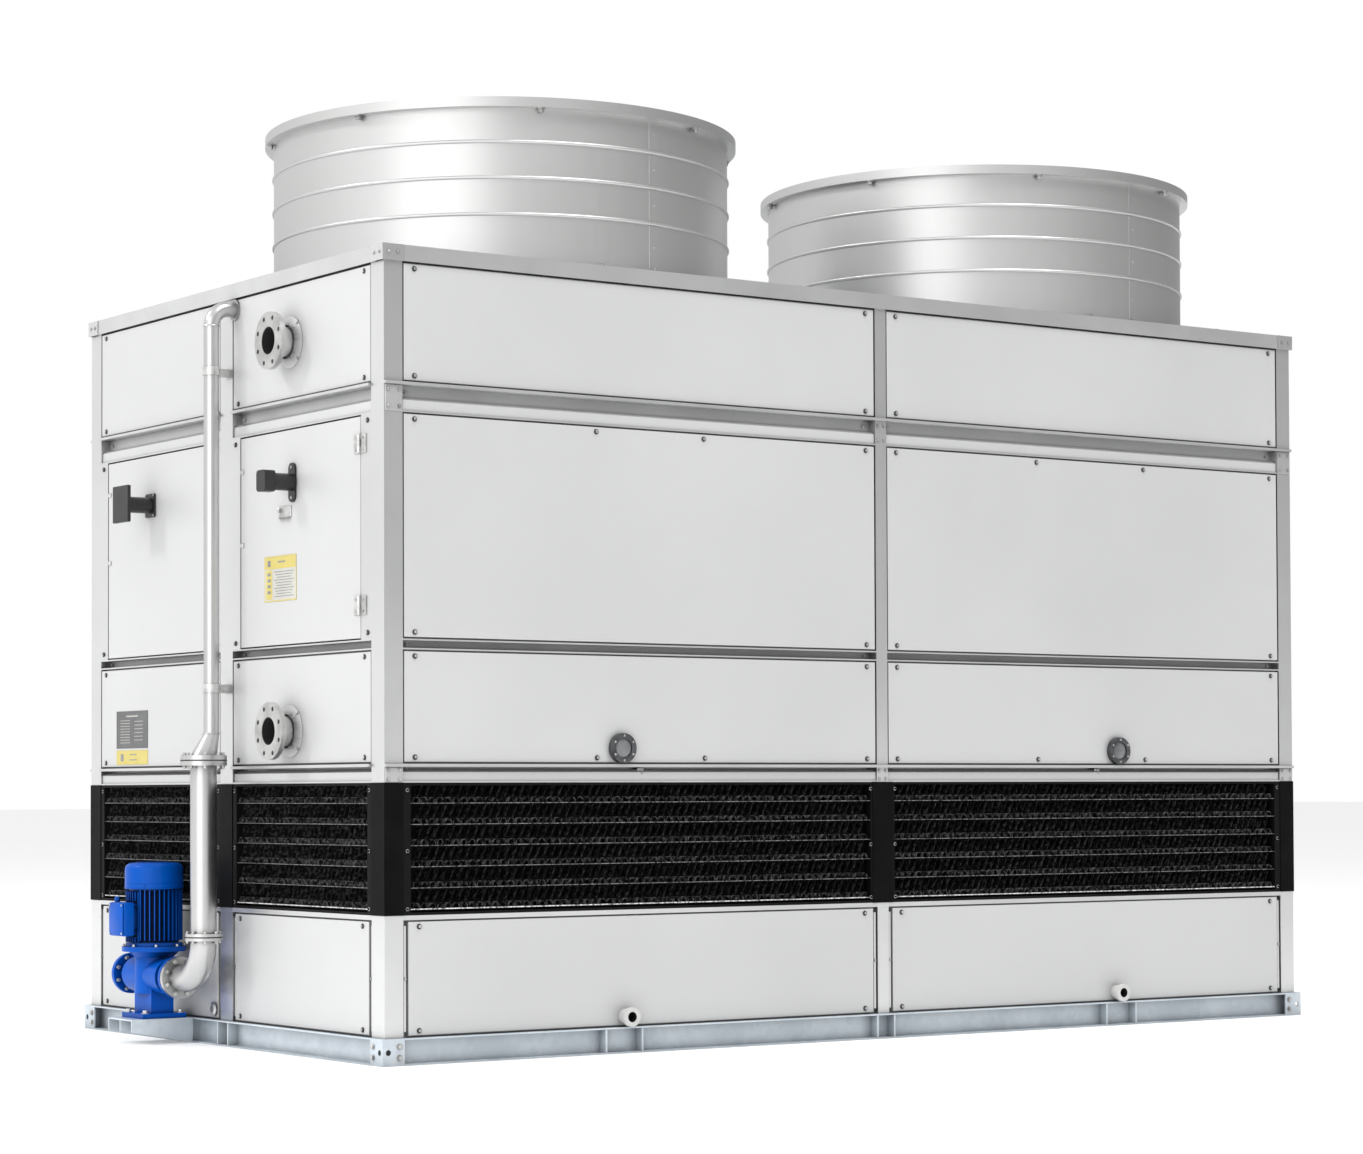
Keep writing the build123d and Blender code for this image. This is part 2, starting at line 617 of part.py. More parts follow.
def coil_stub(z):
    """A pipe from the end wall to the coil, in line with its outside connection."""
    return along_x(COIL_PIPE_R, -HALF_L + PANEL_THICK, -HALF_L + COIL_FROM_END, CONNECTION_Y, z)


def spray_header():
    """The spray main along the tower and its branches across it."""
    x0, x1 = -HALF_L + WALL_DEPTH, HALF_L - WALL_DEPTH - BRANCH_PITCH / 2
    header = along_x(HEADER_R, x0, x1, RISER_Y, HEADER_Z)
    count = int((x1 - x0 - BRANCH_PITCH) // BRANCH_PITCH)
    for n in range(count + 1):
        header += along_y(BRANCH_R, x0 + BRANCH_PITCH * (n + 1), -HALF_W + 2 * WALL_DEPTH,
                          HALF_W - 2 * WALL_DEPTH, HEADER_Z)
    return header


def drift_eliminator():
    inset = BAND_DEPTH
    return block(-HALF_L + inset, HALF_L - inset, -HALF_W + inset, HALF_W - inset,
                 BAND_FOOT, BAND_FOOT + ELIMINATOR_THICK)


# ---- fittings ------------------------------------------------------------------------
def coil_connection(z):
    """A flanged pipe end on the end wall, open to the outside."""
    face = -HALF_L - CONNECTION_REACH
    pipe = along_x(FLANGE_R, face, face + FLANGE_THICK, CONNECTION_Y, z)
    pipe += along_x(COIL_PIPE_R, face, -HALF_L, CONNECTION_Y, z)
    pipe += along_x(COLLAR_R, -HALF_L - COLLAR_THICK, -HALF_L, CONNECTION_Y, z)
    pipe -= along_x(COIL_BORE_R, face, -HALF_L - COLLAR_THICK / 2, CONNECTION_Y, z)
    for n in range(FLANGE_HOLES):
        angle = math.radians(360 / FLANGE_HOLES * (n + 0.5))
        y = CONNECTION_Y + FLANGE_PCD / 2 * math.cos(angle)
        hz = z + FLANGE_PCD / 2 * math.sin(angle)
        pipe -= along_x(FLANGE_HOLE_R, face, face + FLANGE_THICK, y, hz)
    return pipe


def basin_drain(x):
    """A short drain nipple with a thick rim."""
    y = -HALF_W
    nipple = along_y(DRAIN_R, x, y - DRAIN_REACH, y, DRAIN_Z)
    nipple += along_y(DRAIN_RIM_R, x, y - DRAIN_REACH, y - DRAIN_REACH + DRAIN_RIM, DRAIN_Z)
    return nipple - along_y(DRAIN_BORE_R, x, y - DRAIN_REACH, y - DRAIN_WALL, DRAIN_Z)


def sight_port(x):
    """A round window: a flange ring with its glass set back."""
    y = -HALF_W
    ring = along_y(PORT_R, x, y - PORT_THICK, y, PORT_Z)
    return ring - along_y(PORT_GLASS_R, x, y - PORT_THICK, y - PORT_GLASS_THICK, PORT_Z)


# ---- pump and riser ------------------------------------------------------------------
def pump_casing():
    """An in-line pump body: foot, pedestal, level body with two flanged necks, lantern, adapter."""
    x, y, axis = PUMP_X, PUMP_Y, PUMP_AXIS_Z
    half = PUMP_FOOT / 2
    foot_top = BASE_TOP + PUMP_FOOT_T
    casing = block(x - half, x + half, y - half, y + half, BASE_TOP, foot_top)
    leg_x, leg_y = PEDESTAL_X / 2, PEDESTAL_Y / 2
    casing += block(x - leg_x, x + leg_x, y - leg_y, y + leg_y, foot_top, axis)
    flare_foot = ADAPTER_FOOT - LANTERN_FLARE
    casing += along_y(BODY_R, x, y - BODY_HALF, y + BODY_HALF, axis)
    casing += upright(LANTERN_R, x, y, axis - BODY_R, flare_foot)
    casing += along_y(NECK_R, x, y - PUMP_FACE, y + PUMP_FACE, axis)
    casing += along_y(PUMP_FLANGE_R, x, y - PUMP_FACE, y - PUMP_FACE + PUMP_FLANGE_T, axis)
    casing += along_y(PUMP_FLANGE_R, x, y + PUMP_FACE - PUMP_FLANGE_T, y + PUMP_FACE, axis)
    flare = Cone(LANTERN_R, LANTERN_R + LANTERN_FLARE, LANTERN_FLARE)
    casing += Pos(x, y, flare_foot + LANTERN_FLARE / 2) * flare
    return casing + upright(ADAPTER_R, x, y, ADAPTER_FOOT, ADAPTER_TOP)


def pump_motor():
    """A finned motor body with a flange at its foot."""
    motor = upright(MOTOR_R, PUMP_X, PUMP_Y, ADAPTER_TOP, MOTOR_TOP)
    motor += upright(FIN_R, PUMP_X, PUMP_Y, ADAPTER_TOP, ADAPTER_TOP + MOTOR_FLANGE_T)
    fin_foot = ADAPTER_TOP + MOTOR_FLANGE_T + FIN_FOOT_GAP
    fin_top = MOTOR_TOP - FIN_TOP_GAP
    fin = block(MOTOR_R - FIN_ROOT, FIN_R, -FIN_THICK / 2, FIN_THICK / 2, fin_foot, fin_top)
    for n in range(FINS):
        angle = 360 / FINS * (n + 0.5)
        if abs(angle - 180) > BOX_SECTOR:
            motor += Pos(PUMP_X, PUMP_Y, 0) * Rot(0, 0, angle) * fin
    return motor


def motor_fan_cover():
    cover = upright(FAN_COVER_R, PUMP_X, PUMP_Y, MOTOR_TOP, FAN_COVER_TOP)
    return fillet(cover.edges().sort_by(Axis.Z)[-1], FAN_COVER_EDGE_R)


def terminal_box():
    """The motor's terminal box on a neck, with a cable gland boss on top."""
    x1 = PUMP_X - FIN_R
    x0 = x1 - BOX_DEPTH
    half = BOX_WIDTH / 2
    box = block(x0, x1, PUMP_Y - half, PUMP_Y + half, BOX_FOOT, BOX_TOP)
    box = fillet(box.edges().filter_by(Axis.X), BOX_CORNER_R)
    neck_y, neck_z = half - BOX_NECK_INSET, (BOX_TOP - BOX_FOOT) / 2 - BOX_NECK_INSET
    middle = (BOX_FOOT + BOX_TOP) / 2
    x_root = PUMP_X - MOTOR_R + BOX_NECK_ROOT
    box += block(x1, x_root, PUMP_Y - neck_y, PUMP_Y + neck_y, middle - neck_z, middle + neck_z)
    box -= upright(MOTOR_R, PUMP_X, PUMP_Y, BOX_FOOT, BOX_TOP)
    gland_y = PUMP_Y + half - GLAND_INSET
    return box + upright(GLAND_R, (x0 + x1) / 2, gland_y, BOX_TOP, BOX_TOP + GLAND_HEIGHT)


def discharge_elbow():
    """A flanged bend from the pump's discharge up to the riser."""
    face = PUMP_Y - PUMP_FACE
    bend_y = RISER_Y + ELBOW_R
    turn_z = PUMP_AXIS_Z + ELBOW_R
    path = Line((PUMP_X, face, PUMP_AXIS_Z), (PUMP_X, bend_y, PUMP_AXIS_Z))
    path += quarter_bend((PUMP_X, bend_y, PUMP_AXIS_Z), (PUMP_X, RISER_Y, turn_z), (PUMP_X, bend_y, turn_z))
    bend = sweep(Plane(origin=(PUMP_X, face, PUMP_AXIS_Z), z_dir=(0, -1, 0)) * Circle(RISER_R), path=path)
    bend += along_y(PUMP_FLANGE_R, PUMP_X, face - PUMP_FLANGE_T, face, PUMP_AXIS_Z)
    return bend + upright(PAIR_FLANGE_R, PUMP_X, RISER_Y, turn_z, turn_z + PAIR_FLANGE_T)


def riser_lower():
    """The lower riser between its two flanged joints."""
    foot = PUMP_AXIS_Z + ELBOW_R + PAIR_FLANGE_T
    top = REDUCER_FOOT - TOP_FLANGE_T
    pipe = upright(RISER_R, PUMP_X, RISER_Y, foot, top)
    pipe += upright(PAIR_FLANGE_R, PUMP_X, RISER_Y, foot, foot + PAIR_FLANGE_T)
    return pipe + upright(TOP_FLANGE_R, PUMP_X, RISER_Y, top - TOP_FLANGE_T, top)


def riser_reducer():
    """An eccentric reducer on the upper half of the flanged joint."""
    flange = upright(TOP_FLANGE_R, PUMP_X, RISER_Y, REDUCER_FOOT - TOP_FLANGE_T, REDUCER_FOOT)
    wide = Pos(PUMP_X, RISER_Y, REDUCER_FOOT) * Circle(RISER_R)
    narrow = Pos(UPPER_PIPE_X, RISER_Y, REDUCER_TOP) * Circle(UPPER_PIPE_R)
    return flange + loft([wide, narrow])


def riser_upper():
    """The thin riser from the reducer to its wall collar under the roof band."""
    bend_foot = UPPER_TURN_Z - UPPER_BEND_R
    path = Line((UPPER_PIPE_X, RISER_Y, REDUCER_TOP), (UPPER_PIPE_X, RISER_Y, bend_foot))
    turn_x = UPPER_PIPE_X + UPPER_BEND_R
    path += quarter_bend((UPPER_PIPE_X, RISER_Y, bend_foot), (turn_x, RISER_Y, UPPER_TURN_Z),
                         (turn_x, RISER_Y, bend_foot))
    path += Line((turn_x, RISER_Y, UPPER_TURN_Z), (-HALF_L, RISER_Y, UPPER_TURN_Z))
    riser = sweep(Pos(UPPER_PIPE_X, RISER_Y, REDUCER_TOP) * Circle(UPPER_PIPE_R), path=path)
    return riser + along_x(WALL_COLLAR_R, -HALF_L - COLLAR_THICK, -HALF_L, RISER_Y, UPPER_TURN_Z)


def pipe_clamp(z):
    """A band round the thin riser with an arm to the end wall's middle post."""
    z0, z1 = z - CLAMP_HEIGHT / 2, z + CLAMP_HEIGHT / 2
    clamp = upright(UPPER_PIPE_R + CLAMP_WALL, UPPER_PIPE_X, RISER_Y, z0, z1)
    arm_y = RISER_Y + UPPER_PIPE_R + CLAMP_WALL
    clamp += block(UPPER_PIPE_X, -HALF_L, arm_y - CLAMP_LAP, arm_y + CLAMP_ARM, z0, z1)
    clamp += block(-HALF_L - CLAMP_ARM, -HALF_L, arm_y - CLAMP_LAP, arm_y + CLAMP_FOOT, z0, z1)
    return clamp - upright(UPPER_PIPE_R, UPPER_PIPE_X, RISER_Y, z0, z1)


# ---- the nodes -----------------------------------------------------------------------
os.makedirs("parts", exist_ok=True)
CORNERS = [(sx, sy) for sx in (-1, 1) for sy in (-1, 1)]

save("base_rails", [base_rail(side) for side in SIDES])
save("base_corner_plates", [base_corner_plate(sx, sy) for sx, sy in CORNERS])
save("base_cross_members", [cross_member(x) for x in (-CROSS_X, 0, CROSS_X)])
save("pump_skid", pump_skid())

save("corner_posts", [corner_post(sx, sy) for sx, sy in CORNERS])
save("mid_posts", [mid_post(side) for side in SIDES])
save("basin_top_rails", basin_top_rails())
save("lower_rails", storey_rails(LOUVRE_HEAD, LOWER_RAIL_TOP))
save("mid_rails", mid_rails())
save("upper_rails", storey_rails(UPPER_RAIL_FOOT, UPPER_RAIL_TOP))

save("basin_floor", block(-HALF_L + CORNER_ON_FRONT, HALF_L - CORNER_ON_FRONT, -HALF_W + WALL_DEPTH,
                          HALF_W - WALL_DEPTH, BASE_TOP, BASE_TOP + BASIN_FLOOR_THICK))
save("basin_panels", panel_row(BASE_TOP, BASIN_TOP, side_seam=BASIN_SIDE_STRIP))
save("lower_panels", panel_row(LOWER_RAIL_TOP, MID_RAIL_FOOT))
save("middle_panels", panel_row(MID_RAIL_TOP, UPPER_RAIL_FOOT, sides=("front", "back", "right")))
save("upper_panels", panel_row(UPPER_RAIL_TOP, BAND_FOOT))
for wall in SIDES:
    save(wall + "_louvres", louvre_row(wall))
save("louvre_post_covers", [corner_cover(sx, sy) for sx, sy in CORNERS] + [mid_cover(side) for side in SIDES])

save("door_stiles", door_stiles())
hinge_lines = {"near": NEAR_HINGE_Y + DOOR_GAP / 2, "far": FAR_HINGE_Y + DOOR_GAP / 2}
hinge_heights = (HINGE_LOW, HINGE_HIGH)
save("hinge_fixed_leaves", [fixed_leaf(y, z) for y in hinge_lines.values() for z in hinge_heights])
save("near_door", door_leaf(NEAR_HINGE_Y, NEAR_LATCH_Y))
save("near_door_hinges", [moving_leaf(hinge_lines["near"], z) for z in hinge_heights])
save("near_door_handle", door_handle(NEAR_HINGE_Y + NEAR_HANDLE_FROM_HINGE, NEAR_PLATE, NEAR_PLATE_ROUND,
                                     NEAR_GRIP, NEAR_GRIP_ROUND))
save("far_door", door_leaf(FAR_HINGE_Y, FAR_LATCH_Y))
save("far_door_hinges", [moving_leaf(hinge_lines["far"], z) for z in hinge_heights])
save("far_door_handle", door_handle(FAR_HINGE_Y + FAR_HANDLE_FROM_HINGE, FAR_PLATE, FAR_PLATE_ROUND,
                                    FAR_GRIP, FAR_GRIP_ROUND))

save("roof_band", [roof_band(side) for side in SIDES])
save("roof_corner_caps", [corner_cap(sx, sy) for sx, sy in CORNERS])
save("roof_deck", [deck_sheet(0), deck_sheet(1)])
save("fan_stack_left", fan_stack(STACK_X[0]))
save("fan_stack_right", fan_stack(STACK_X[1]))
save("fan_rotors", [fan_rotor(x) for x in STACK_X])
save("fan_motors", [fan_motor(x) for x in STACK_X])
save("fan_supports", [fan_support(x) for x in STACK_X])

save("coil_bundle", coil_bundle())
save("coil_stubs", [coil_stub(z) for z in CONNECTION_HEIGHTS])
save("spray_header", spray_header())
save("drift_eliminator", drift_eliminator())

save("coil_connections", [coil_connection(z) for z in CONNECTION_HEIGHTS])
save("basin_drains", [basin_drain(x) for x in (-DRAIN_X, DRAIN_X)])
save("sight_ports", [sight_port(x) for x in (-PORT_X, PORT_X)])

save("pump_casing", pump_casing())
save("pump_motor", pump_motor())
save("motor_fan_cover", motor_fan_cover())
save("terminal_box", terminal_box())
save("discharge_elbow", discharge_elbow())
save("riser_lower", riser_lower())
save("riser_reducer", riser_reducer())
save("riser_upper", riser_upper())
save("pipe_clamps", [pipe_clamp(z) for z in CLAMP_HEIGHTS])
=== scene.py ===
import bpy
import math
from mathutils import Matrix, Vector


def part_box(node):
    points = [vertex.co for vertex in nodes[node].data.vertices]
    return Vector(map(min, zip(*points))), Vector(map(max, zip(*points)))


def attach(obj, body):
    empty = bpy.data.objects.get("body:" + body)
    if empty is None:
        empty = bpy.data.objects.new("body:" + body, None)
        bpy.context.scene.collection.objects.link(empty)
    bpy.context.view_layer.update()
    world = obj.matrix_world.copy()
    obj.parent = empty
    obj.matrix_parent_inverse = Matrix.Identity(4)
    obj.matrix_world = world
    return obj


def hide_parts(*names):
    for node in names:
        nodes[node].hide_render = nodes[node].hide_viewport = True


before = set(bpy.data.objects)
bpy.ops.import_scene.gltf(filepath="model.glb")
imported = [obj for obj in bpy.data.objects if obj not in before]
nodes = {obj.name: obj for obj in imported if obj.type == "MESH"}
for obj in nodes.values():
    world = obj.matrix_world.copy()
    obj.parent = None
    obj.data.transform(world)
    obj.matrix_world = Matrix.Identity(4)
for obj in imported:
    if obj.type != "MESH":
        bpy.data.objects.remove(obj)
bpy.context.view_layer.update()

# ---- Base ----------------------------------------------------------------------------
# Hot-dip galvanized channels laid on the ground with their open sides outwards, stiffened
# by welded webs. An angle plate with lifting holes closes each corner and is bolted on.


def plain_material(name, colour, roughness, metallic=0.0):
    """A principled material with its node tree and shader."""
    material = bpy.data.materials.new(name)
    material.use_nodes = True
    shader = material.node_tree.nodes["Principled BSDF"]
    shader.inputs["Base Color"].default_value = (*colour, 1.0)
    shader.inputs["Roughness"].default_value = roughness
    shader.inputs["Metallic"].default_value = metallic
    return material, material.node_tree, shader


def noise_value(tree, scale, detail=3.0, stretch=(1.0, 1.0, 1.0)):
    """Noise over the piece's own coordinates."""
    coords = tree.nodes.new("ShaderNodeTexCoord")
    mapping = tree.nodes.new("ShaderNodeMapping")
    mapping.inputs["Scale"].default_value = stretch
    noise = tree.nodes.new("ShaderNodeTexNoise")
    noise.inputs["Scale"].default_value = scale
    noise.inputs["Detail"].default_value = detail
    tree.links.new(coords.outputs["Object"], mapping.inputs["Vector"])
    tree.links.new(mapping.outputs["Vector"], noise.inputs["Vector"])
    return noise.outputs["Fac"]


def tone_ramp(tree, value, dark, light, start=0.35, end=0.65):
    """Two colours blended over a value."""
    ramp = tree.nodes.new("ShaderNodeValToRGB")
    ramp.color_ramp.elements[0].position = start
    ramp.color_ramp.elements[0].color = (*dark, 1.0)
    ramp.color_ramp.elements[1].position = end
    ramp.color_ramp.elements[1].color = (*light, 1.0)
    tree.links.new(value, ramp.inputs["Fac"])
    return ramp.outputs["Color"]


def spread(tree, value, low, high):
    """A value of nought to one spread between two limits."""
    limits = tree.nodes.new("ShaderNodeMapRange")
    limits.inputs["To Min"].default_value = low
    limits.inputs["To Max"].default_value = high
    tree.links.new(value, limits.inputs["Value"])
    return limits.outputs["Result"]


def fine_relief(tree, shader, value, strength, distance):
    """Bump from a value."""
    bump = tree.nodes.new("ShaderNodeBump")
    bump.inputs["Strength"].default_value = strength
    bump.inputs["Distance"].default_value = distance
    tree.links.new(value, bump.inputs["Height"])
    tree.links.new(bump.outputs["Normal"], shader.inputs["Normal"])


def paint_recess_shade(tree, shader, reach, deepest):
    """Painted shade where pieces meet: the colour is darkened where a point is closed in."""
    closed = tree.nodes.new("ShaderNodeAmbientOcclusion")
    closed.samples = 6
    closed.inputs["Distance"].default_value = reach
    sink = tree.nodes.new("ShaderNodeMix")
    sink.data_type = "RGBA"
    sink.blend_type = "MULTIPLY"
    sink.inputs["Factor"].default_value = 1.0
    colour = shader.inputs["Base Color"].links[0].from_socket
    depth = tone_ramp(tree, closed.outputs["AO"], (deepest,) * 3, (1.0, 1.0, 1.0), 0.15, 0.95)
    tree.links.new(colour, sink.inputs["A"])
    tree.links.new(depth, sink.inputs["B"])
    tree.links.new(sink.outputs["Result"], shader.inputs["Base Color"])


def galvanized(name, dark, light, roughness=(0.40, 0.60), spangle=34.0):
    """Zinc with its crystal spangle: small cells of slightly different tone, with painted shade where pieces
    meet.
    """
    material, tree, shader = plain_material(name, light, 0.5, 0.5)
    coords = tree.nodes.new("ShaderNodeTexCoord")
    cells = tree.nodes.new("ShaderNodeTexVoronoi")
    cells.inputs["Scale"].default_value = spangle
    tree.links.new(coords.outputs["Object"], cells.inputs["Vector"])
    grey = tree.nodes.new("ShaderNodeRGBToBW")
    tree.links.new(cells.outputs["Color"], grey.inputs["Color"])
    mix = tree.nodes.new("ShaderNodeMath")
    mix.operation = "ADD"
    tree.links.new(spread(tree, grey.outputs["Val"], -0.10, 0.10), mix.inputs[0])
    tree.links.new(noise_value(tree, 4.0), mix.inputs[1])
    tree.links.new(tone_ramp(tree, mix.outputs["Value"], dark, light), shader.inputs["Base Color"])
    tree.links.new(spread(tree, mix.outputs["Value"], *roughness), shader.inputs["Roughness"])
    fine_relief(tree, shader, noise_value(tree, 110.0), 0.10, 0.0006)
    # Painted shade: the zinc colour is darkened in recesses and where pieces meet.
    paint_recess_shade(tree, shader, 0.060, 0.35)
    return material


def metal(name, dark, light, roughness, metallic, patch=3.0, grain=300.0, relief=0.05, stretch=(1, 1, 1),
          shade=(0.035, 0.5)):
    """Sheet, plate or bar: broad soft patches of tone under a fine grain, with painted shade where pieces
    meet.
    """
    material, tree, shader = plain_material(name, light, roughness[0], metallic)
    broad = noise_value(tree, patch, 3.0, stretch)
    finer = noise_value(tree, patch * 9, 3.0, stretch)
    tree.links.new(tone_ramp(tree, broad, dark, light), shader.inputs["Base Color"])
    tree.links.new(spread(tree, finer, *roughness), shader.inputs["Roughness"])
    fine_relief(tree, shader, noise_value(tree, grain, 2.0, stretch), relief, 0.0004)
    # Painted shade: the colour is darkened in recesses by the reach and depth given in shade.
    paint_recess_shade(tree, shader, *shade)
    return material


def coat(material, *names):
    """Gives CAD nodes a material in their own slots."""
    for name in names:
        if not nodes[name].material_slots:
            nodes[name].data.materials.append(material)
        for place in nodes[name].material_slots:
            place.material = material


def deselect():
    bpy.ops.object.select_all(action="DESELECT")


def pick_faces(piece, test):
    """Opens a piece in edit mode with the faces that pass a test selected."""
    bpy.context.view_layer.objects.active = piece
    bpy.ops.object.mode_set(mode="EDIT")
    bpy.ops.mesh.select_mode(type="FACE")
    bpy.ops.mesh.select_all(action="DESELECT")
    bpy.ops.object.mode_set(mode="OBJECT")
    for face in piece.data.polygons:
        face.select = test(face)
    bpy.ops.object.mode_set(mode="EDIT")


def settle():
    """Leaves edit mode and applies the piece's place to its mesh."""
    if bpy.context.object.mode == "EDIT":
        bpy.ops.object.mode_set(mode="OBJECT")
    bpy.ops.object.transform_apply(location=True, rotation=True, scale=True)
    return bpy.context.object


def open_all():
    """Opens the active piece in edit mode with everything selected."""
    bpy.ops.object.mode_set(mode="EDIT")
    bpy.ops.mesh.select_all(action="SELECT")


def bar(size, centre, bevel=0.0, segments=1):
    """A square-edged piece of bar or plate with its edges broken."""
    deselect()
    bpy.ops.mesh.primitive_cube_add(size=1.0, location=centre)
    bpy.context.object.scale = size
    settle()
    if bevel:
        open_all()
        bpy.ops.mesh.bevel(offset=bevel, segments=segments, affect="EDGES")
    return settle()


def disc(radius, height, foot=(0, 0, 0), sides=32, bevel=0.0):
    """A round piece standing on a point, its end edges broken."""
    deselect()
    bpy.ops.mesh.primitive_cylinder_add(vertices=sides, radius=radius, depth=height,
                                        location=(foot[0], foot[1], foot[2] + height / 2))
    piece = settle()
    if bevel:
        pick_faces(piece, lambda face: abs(face.normal.z) > 0.9)
        bpy.ops.mesh.bevel(offset=bevel, segments=2, affect="EDGES")
    return settle()


def joined(pieces):
    """Joins pieces into the first of them."""
    deselect()
    for piece in pieces:
        piece.select_set(True)
    bpy.context.view_layer.objects.active = pieces[0]
    if len(pieces) > 1:
        bpy.ops.object.join()
    return pieces[0]


def copies(master, places):
    """A copy of a modelled piece at each place, joined; the master goes."""
    twins = []
    for place in places:
        twin = master.copy()
        twin.data = master.data.copy()
        bpy.context.collection.objects.link(twin)
        twin.matrix_world = place
        twins.append(twin)
    bpy.data.objects.remove(master)
    return joined(twins)


def facing(point, outward):
    """The place of a piece modelled upright, set at a point and looking outwards."""
    turn = Vector(outward).to_track_quat("Z", "Y").to_matrix().to_4x4()
    return Matrix.Translation(Vector(point)) @ turn


def mount(piece, name, material, body="tower"):
    """Finishes a piece: place into the mesh, name, material, body and finish slot."""
    deselect()
    piece.select_set(True)
    bpy.context.view_layer.objects.active = piece
    settle()
    piece.name = name
    piece.data.name = name
    if material:
        piece.data.materials.clear()
        piece.data.materials.append(material)
    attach(piece, body)
    return piece


def hex_bolt(radius, height, washer=1.5):
    """A chamfered hexagon head on its washer."""
    plate = disc(radius * washer, height * 0.25, sides=16)
    head = disc(radius, height * 0.75, (0, 0, height * 0.25), sides=6)
    pick_faces(head, lambda face: face.normal.z > 0.9)
    bpy.ops.mesh.inset(thickness=radius * 0.16, depth=radius * 0.10)
    settle()
    return joined([head, plate])


def bolts(name, spots, radius, height, material, body="tower", washer=1.5):
    """Bolts at (point, outward) spots, as one piece."""
    placed = copies(hex_bolt(radius, height, washer), [facing(*spot) for spot in spots])
    return mount(placed, name, material, body)


OUT = {"front": (0, -1, 0), "back": (0, 1, 0), "left": (-1, 0, 0), "right": (1, 0, 0)}
base_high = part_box("base_rails")[1]
zinc = galvanized("base_zinc", (0.56, 0.615, 0.665), (0.68, 0.735, 0.78))
coat(zinc, "base_rails", "base_corner_plates", "base_cross_members")
bolt_steel = metal("bolt_steel", (0.35, 0.35, 0.35), (0.62, 0.62, 0.61), (0.30, 0.5), 0.9, 30.0)

plate_bolt_inset = 0.070
spots = []
for far in (-1, 1):
    for z in (0.030, 0.070):
        spots.append(((far * (base_high.x - plate_bolt_inset), -base_high.y, z), OUT["front"]))
        spots.append(((-base_high.x, far * (base_high.y - plate_bolt_inset), z), OUT["left"]))
bolts("base_corner_bolts", spots, 0.0080, 0.008, bolt_steel)

# ---- Basin ---------------------------------------------------------------------------
# A shallow tank of coated steel trays over a sheet floor. Narrow strips beside the posts
# clamp the trays. Still water stands a hand's breadth below their top.
wall_low, wall_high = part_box("corner_posts")
corner_on_front, corner_on_end = 0.078, 0.095
mid_on_front, mid_on_end = 0.056, 0.104
long_bays = ((wall_low.x + corner_on_front, -mid_on_front / 2),
             (mid_on_front / 2, wall_high.x - corner_on_front))
end_bays = ((wall_low.y + corner_on_end, -mid_on_end / 2),
            (mid_on_end / 2, wall_high.y - corner_on_end))


def bays(side):
    return long_bays if side in ("front", "back") else end_bays


def on_wall(side, u, z, proud=0.0):
    """A point on a wall: u along it, at height z, proud of it."""
    return {
        "front": Vector((u, wall_low.y - proud, z)),
        "back": Vector((-u, wall_high.y + proud, z)),
        "left": Vector((wall_low.x - proud, u, z)),
        "right": Vector((wall_high.x + proud, -u, z)),
    }[side]


def wall_spot(side, u, z, proud=0.0):
    """A point on a wall and the way out of it."""
    return on_wall(side, u, z, proud), OUT[side]


def push(x, y, z):
    """Extrudes what is picked by an offset."""
    bpy.ops.mesh.extrude_region_move(TRANSFORM_OT_translate={"value": (x, y, z)})


panel_sheet = metal("panel_sheet", (0.545, 0.547, 0.548), (0.580, 0.582, 0.583), (0.36, 0.46), 0.20,
                    0.8, 420.0, 0.02, shade=(0.090, 0.42))
coat(panel_sheet, "basin_panels")
basin_zinc = galvanized("basin_zinc", (0.28, 0.30, 0.31), (0.42, 0.44, 0.45))
coat(basin_zinc, "basin_floor")

basin_low, basin_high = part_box("basin_panels")
strip_width, strip_set_back = 0.012, 0.006
strips, spots = [], []
for side in OUT:
    for u0, u1 in bays(side):
        for u in (u0 + 0.010, u1 - 0.010):
            strip = bar((strip_width, basin_high.z - basin_low.z - 0.040, 0.016), (0, 0, -0.008), 0.0015)
            middle = (basin_low.z + basin_high.z) / 2
            strip.matrix_world = facing(*wall_spot(side, u, middle, -strip_set_back))
            strips.append(strip)
            spots.append(wall_spot(side, u, middle, -strip_set_back))
post_sheet = metal("post_sheet", (0.70, 0.702, 0.704), (0.76, 0.762, 0.764), (0.29, 0.34), 0.92, 1.5,
                   relief=0.006, shade=(0.050, 0.30))
mount(joined(strips), "basin_side_strips", post_sheet)
bolts("basin_strip_bolts", spots, 0.0042, 0.005, bolt_steel)

drain_plastic = metal("drain_plastic", (0.52, 0.52, 0.512), (0.60, 0.60, 0.59), (0.35, 0.5), 0.0, 12.0)
coat(drain_plastic, "basin_drains")
# Near-black linings inside the drain bores: painted shade for the shadow within them.
drain_bore_shade = metal("drain_bore_shade", (0.002, 0.002, 0.002), (0.005, 0.005, 0.005), (0.7, 0.9), 0.0, 12.0)
drain_low, drain_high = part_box("basin_drains")
drain_r, drain_bore_r, drain_deep = 0.037, 0.0197, 0.044
linings = []
for x in (drain_low.x + drain_r, drain_high.x - drain_r):
    lining = disc(drain_bore_r, drain_deep, sides=32)
    pick_faces(lining, lambda face: face.normal.z > 0.9)
    bpy.ops.mesh.inset(thickness=0.0012)
    push(0, 0, -0.040)
    lining = settle()
    middle = (drain_low.z + drain_high.z) / 2
    lining.matrix_world = facing((x, drain_low.y + drain_deep + 0.001, middle), OUT["front"])
    linings.append(lining)
mount(joined(linings), "drain_bore_shade_linings", drain_bore_shade)

# The filling plug: a stepped round cap screwed in low on the far end tray.
plug_y, plug_z = 0.100, 0.141
plug = disc(0.019, 0.006, sides=32, bevel=0.0015)
pick_faces(plug, lambda face: face.normal.z > 0.9)
bpy.ops.mesh.inset(thickness=0.006)
push(0, 0, 0.006)
bpy.ops.mesh.inset(thickness=0.003, depth=-0.002)
plug = settle()
plug.matrix_world = facing(*wall_spot("left", plug_y, plug_z))
mount(plug, "basin_plug", bolt_steel)

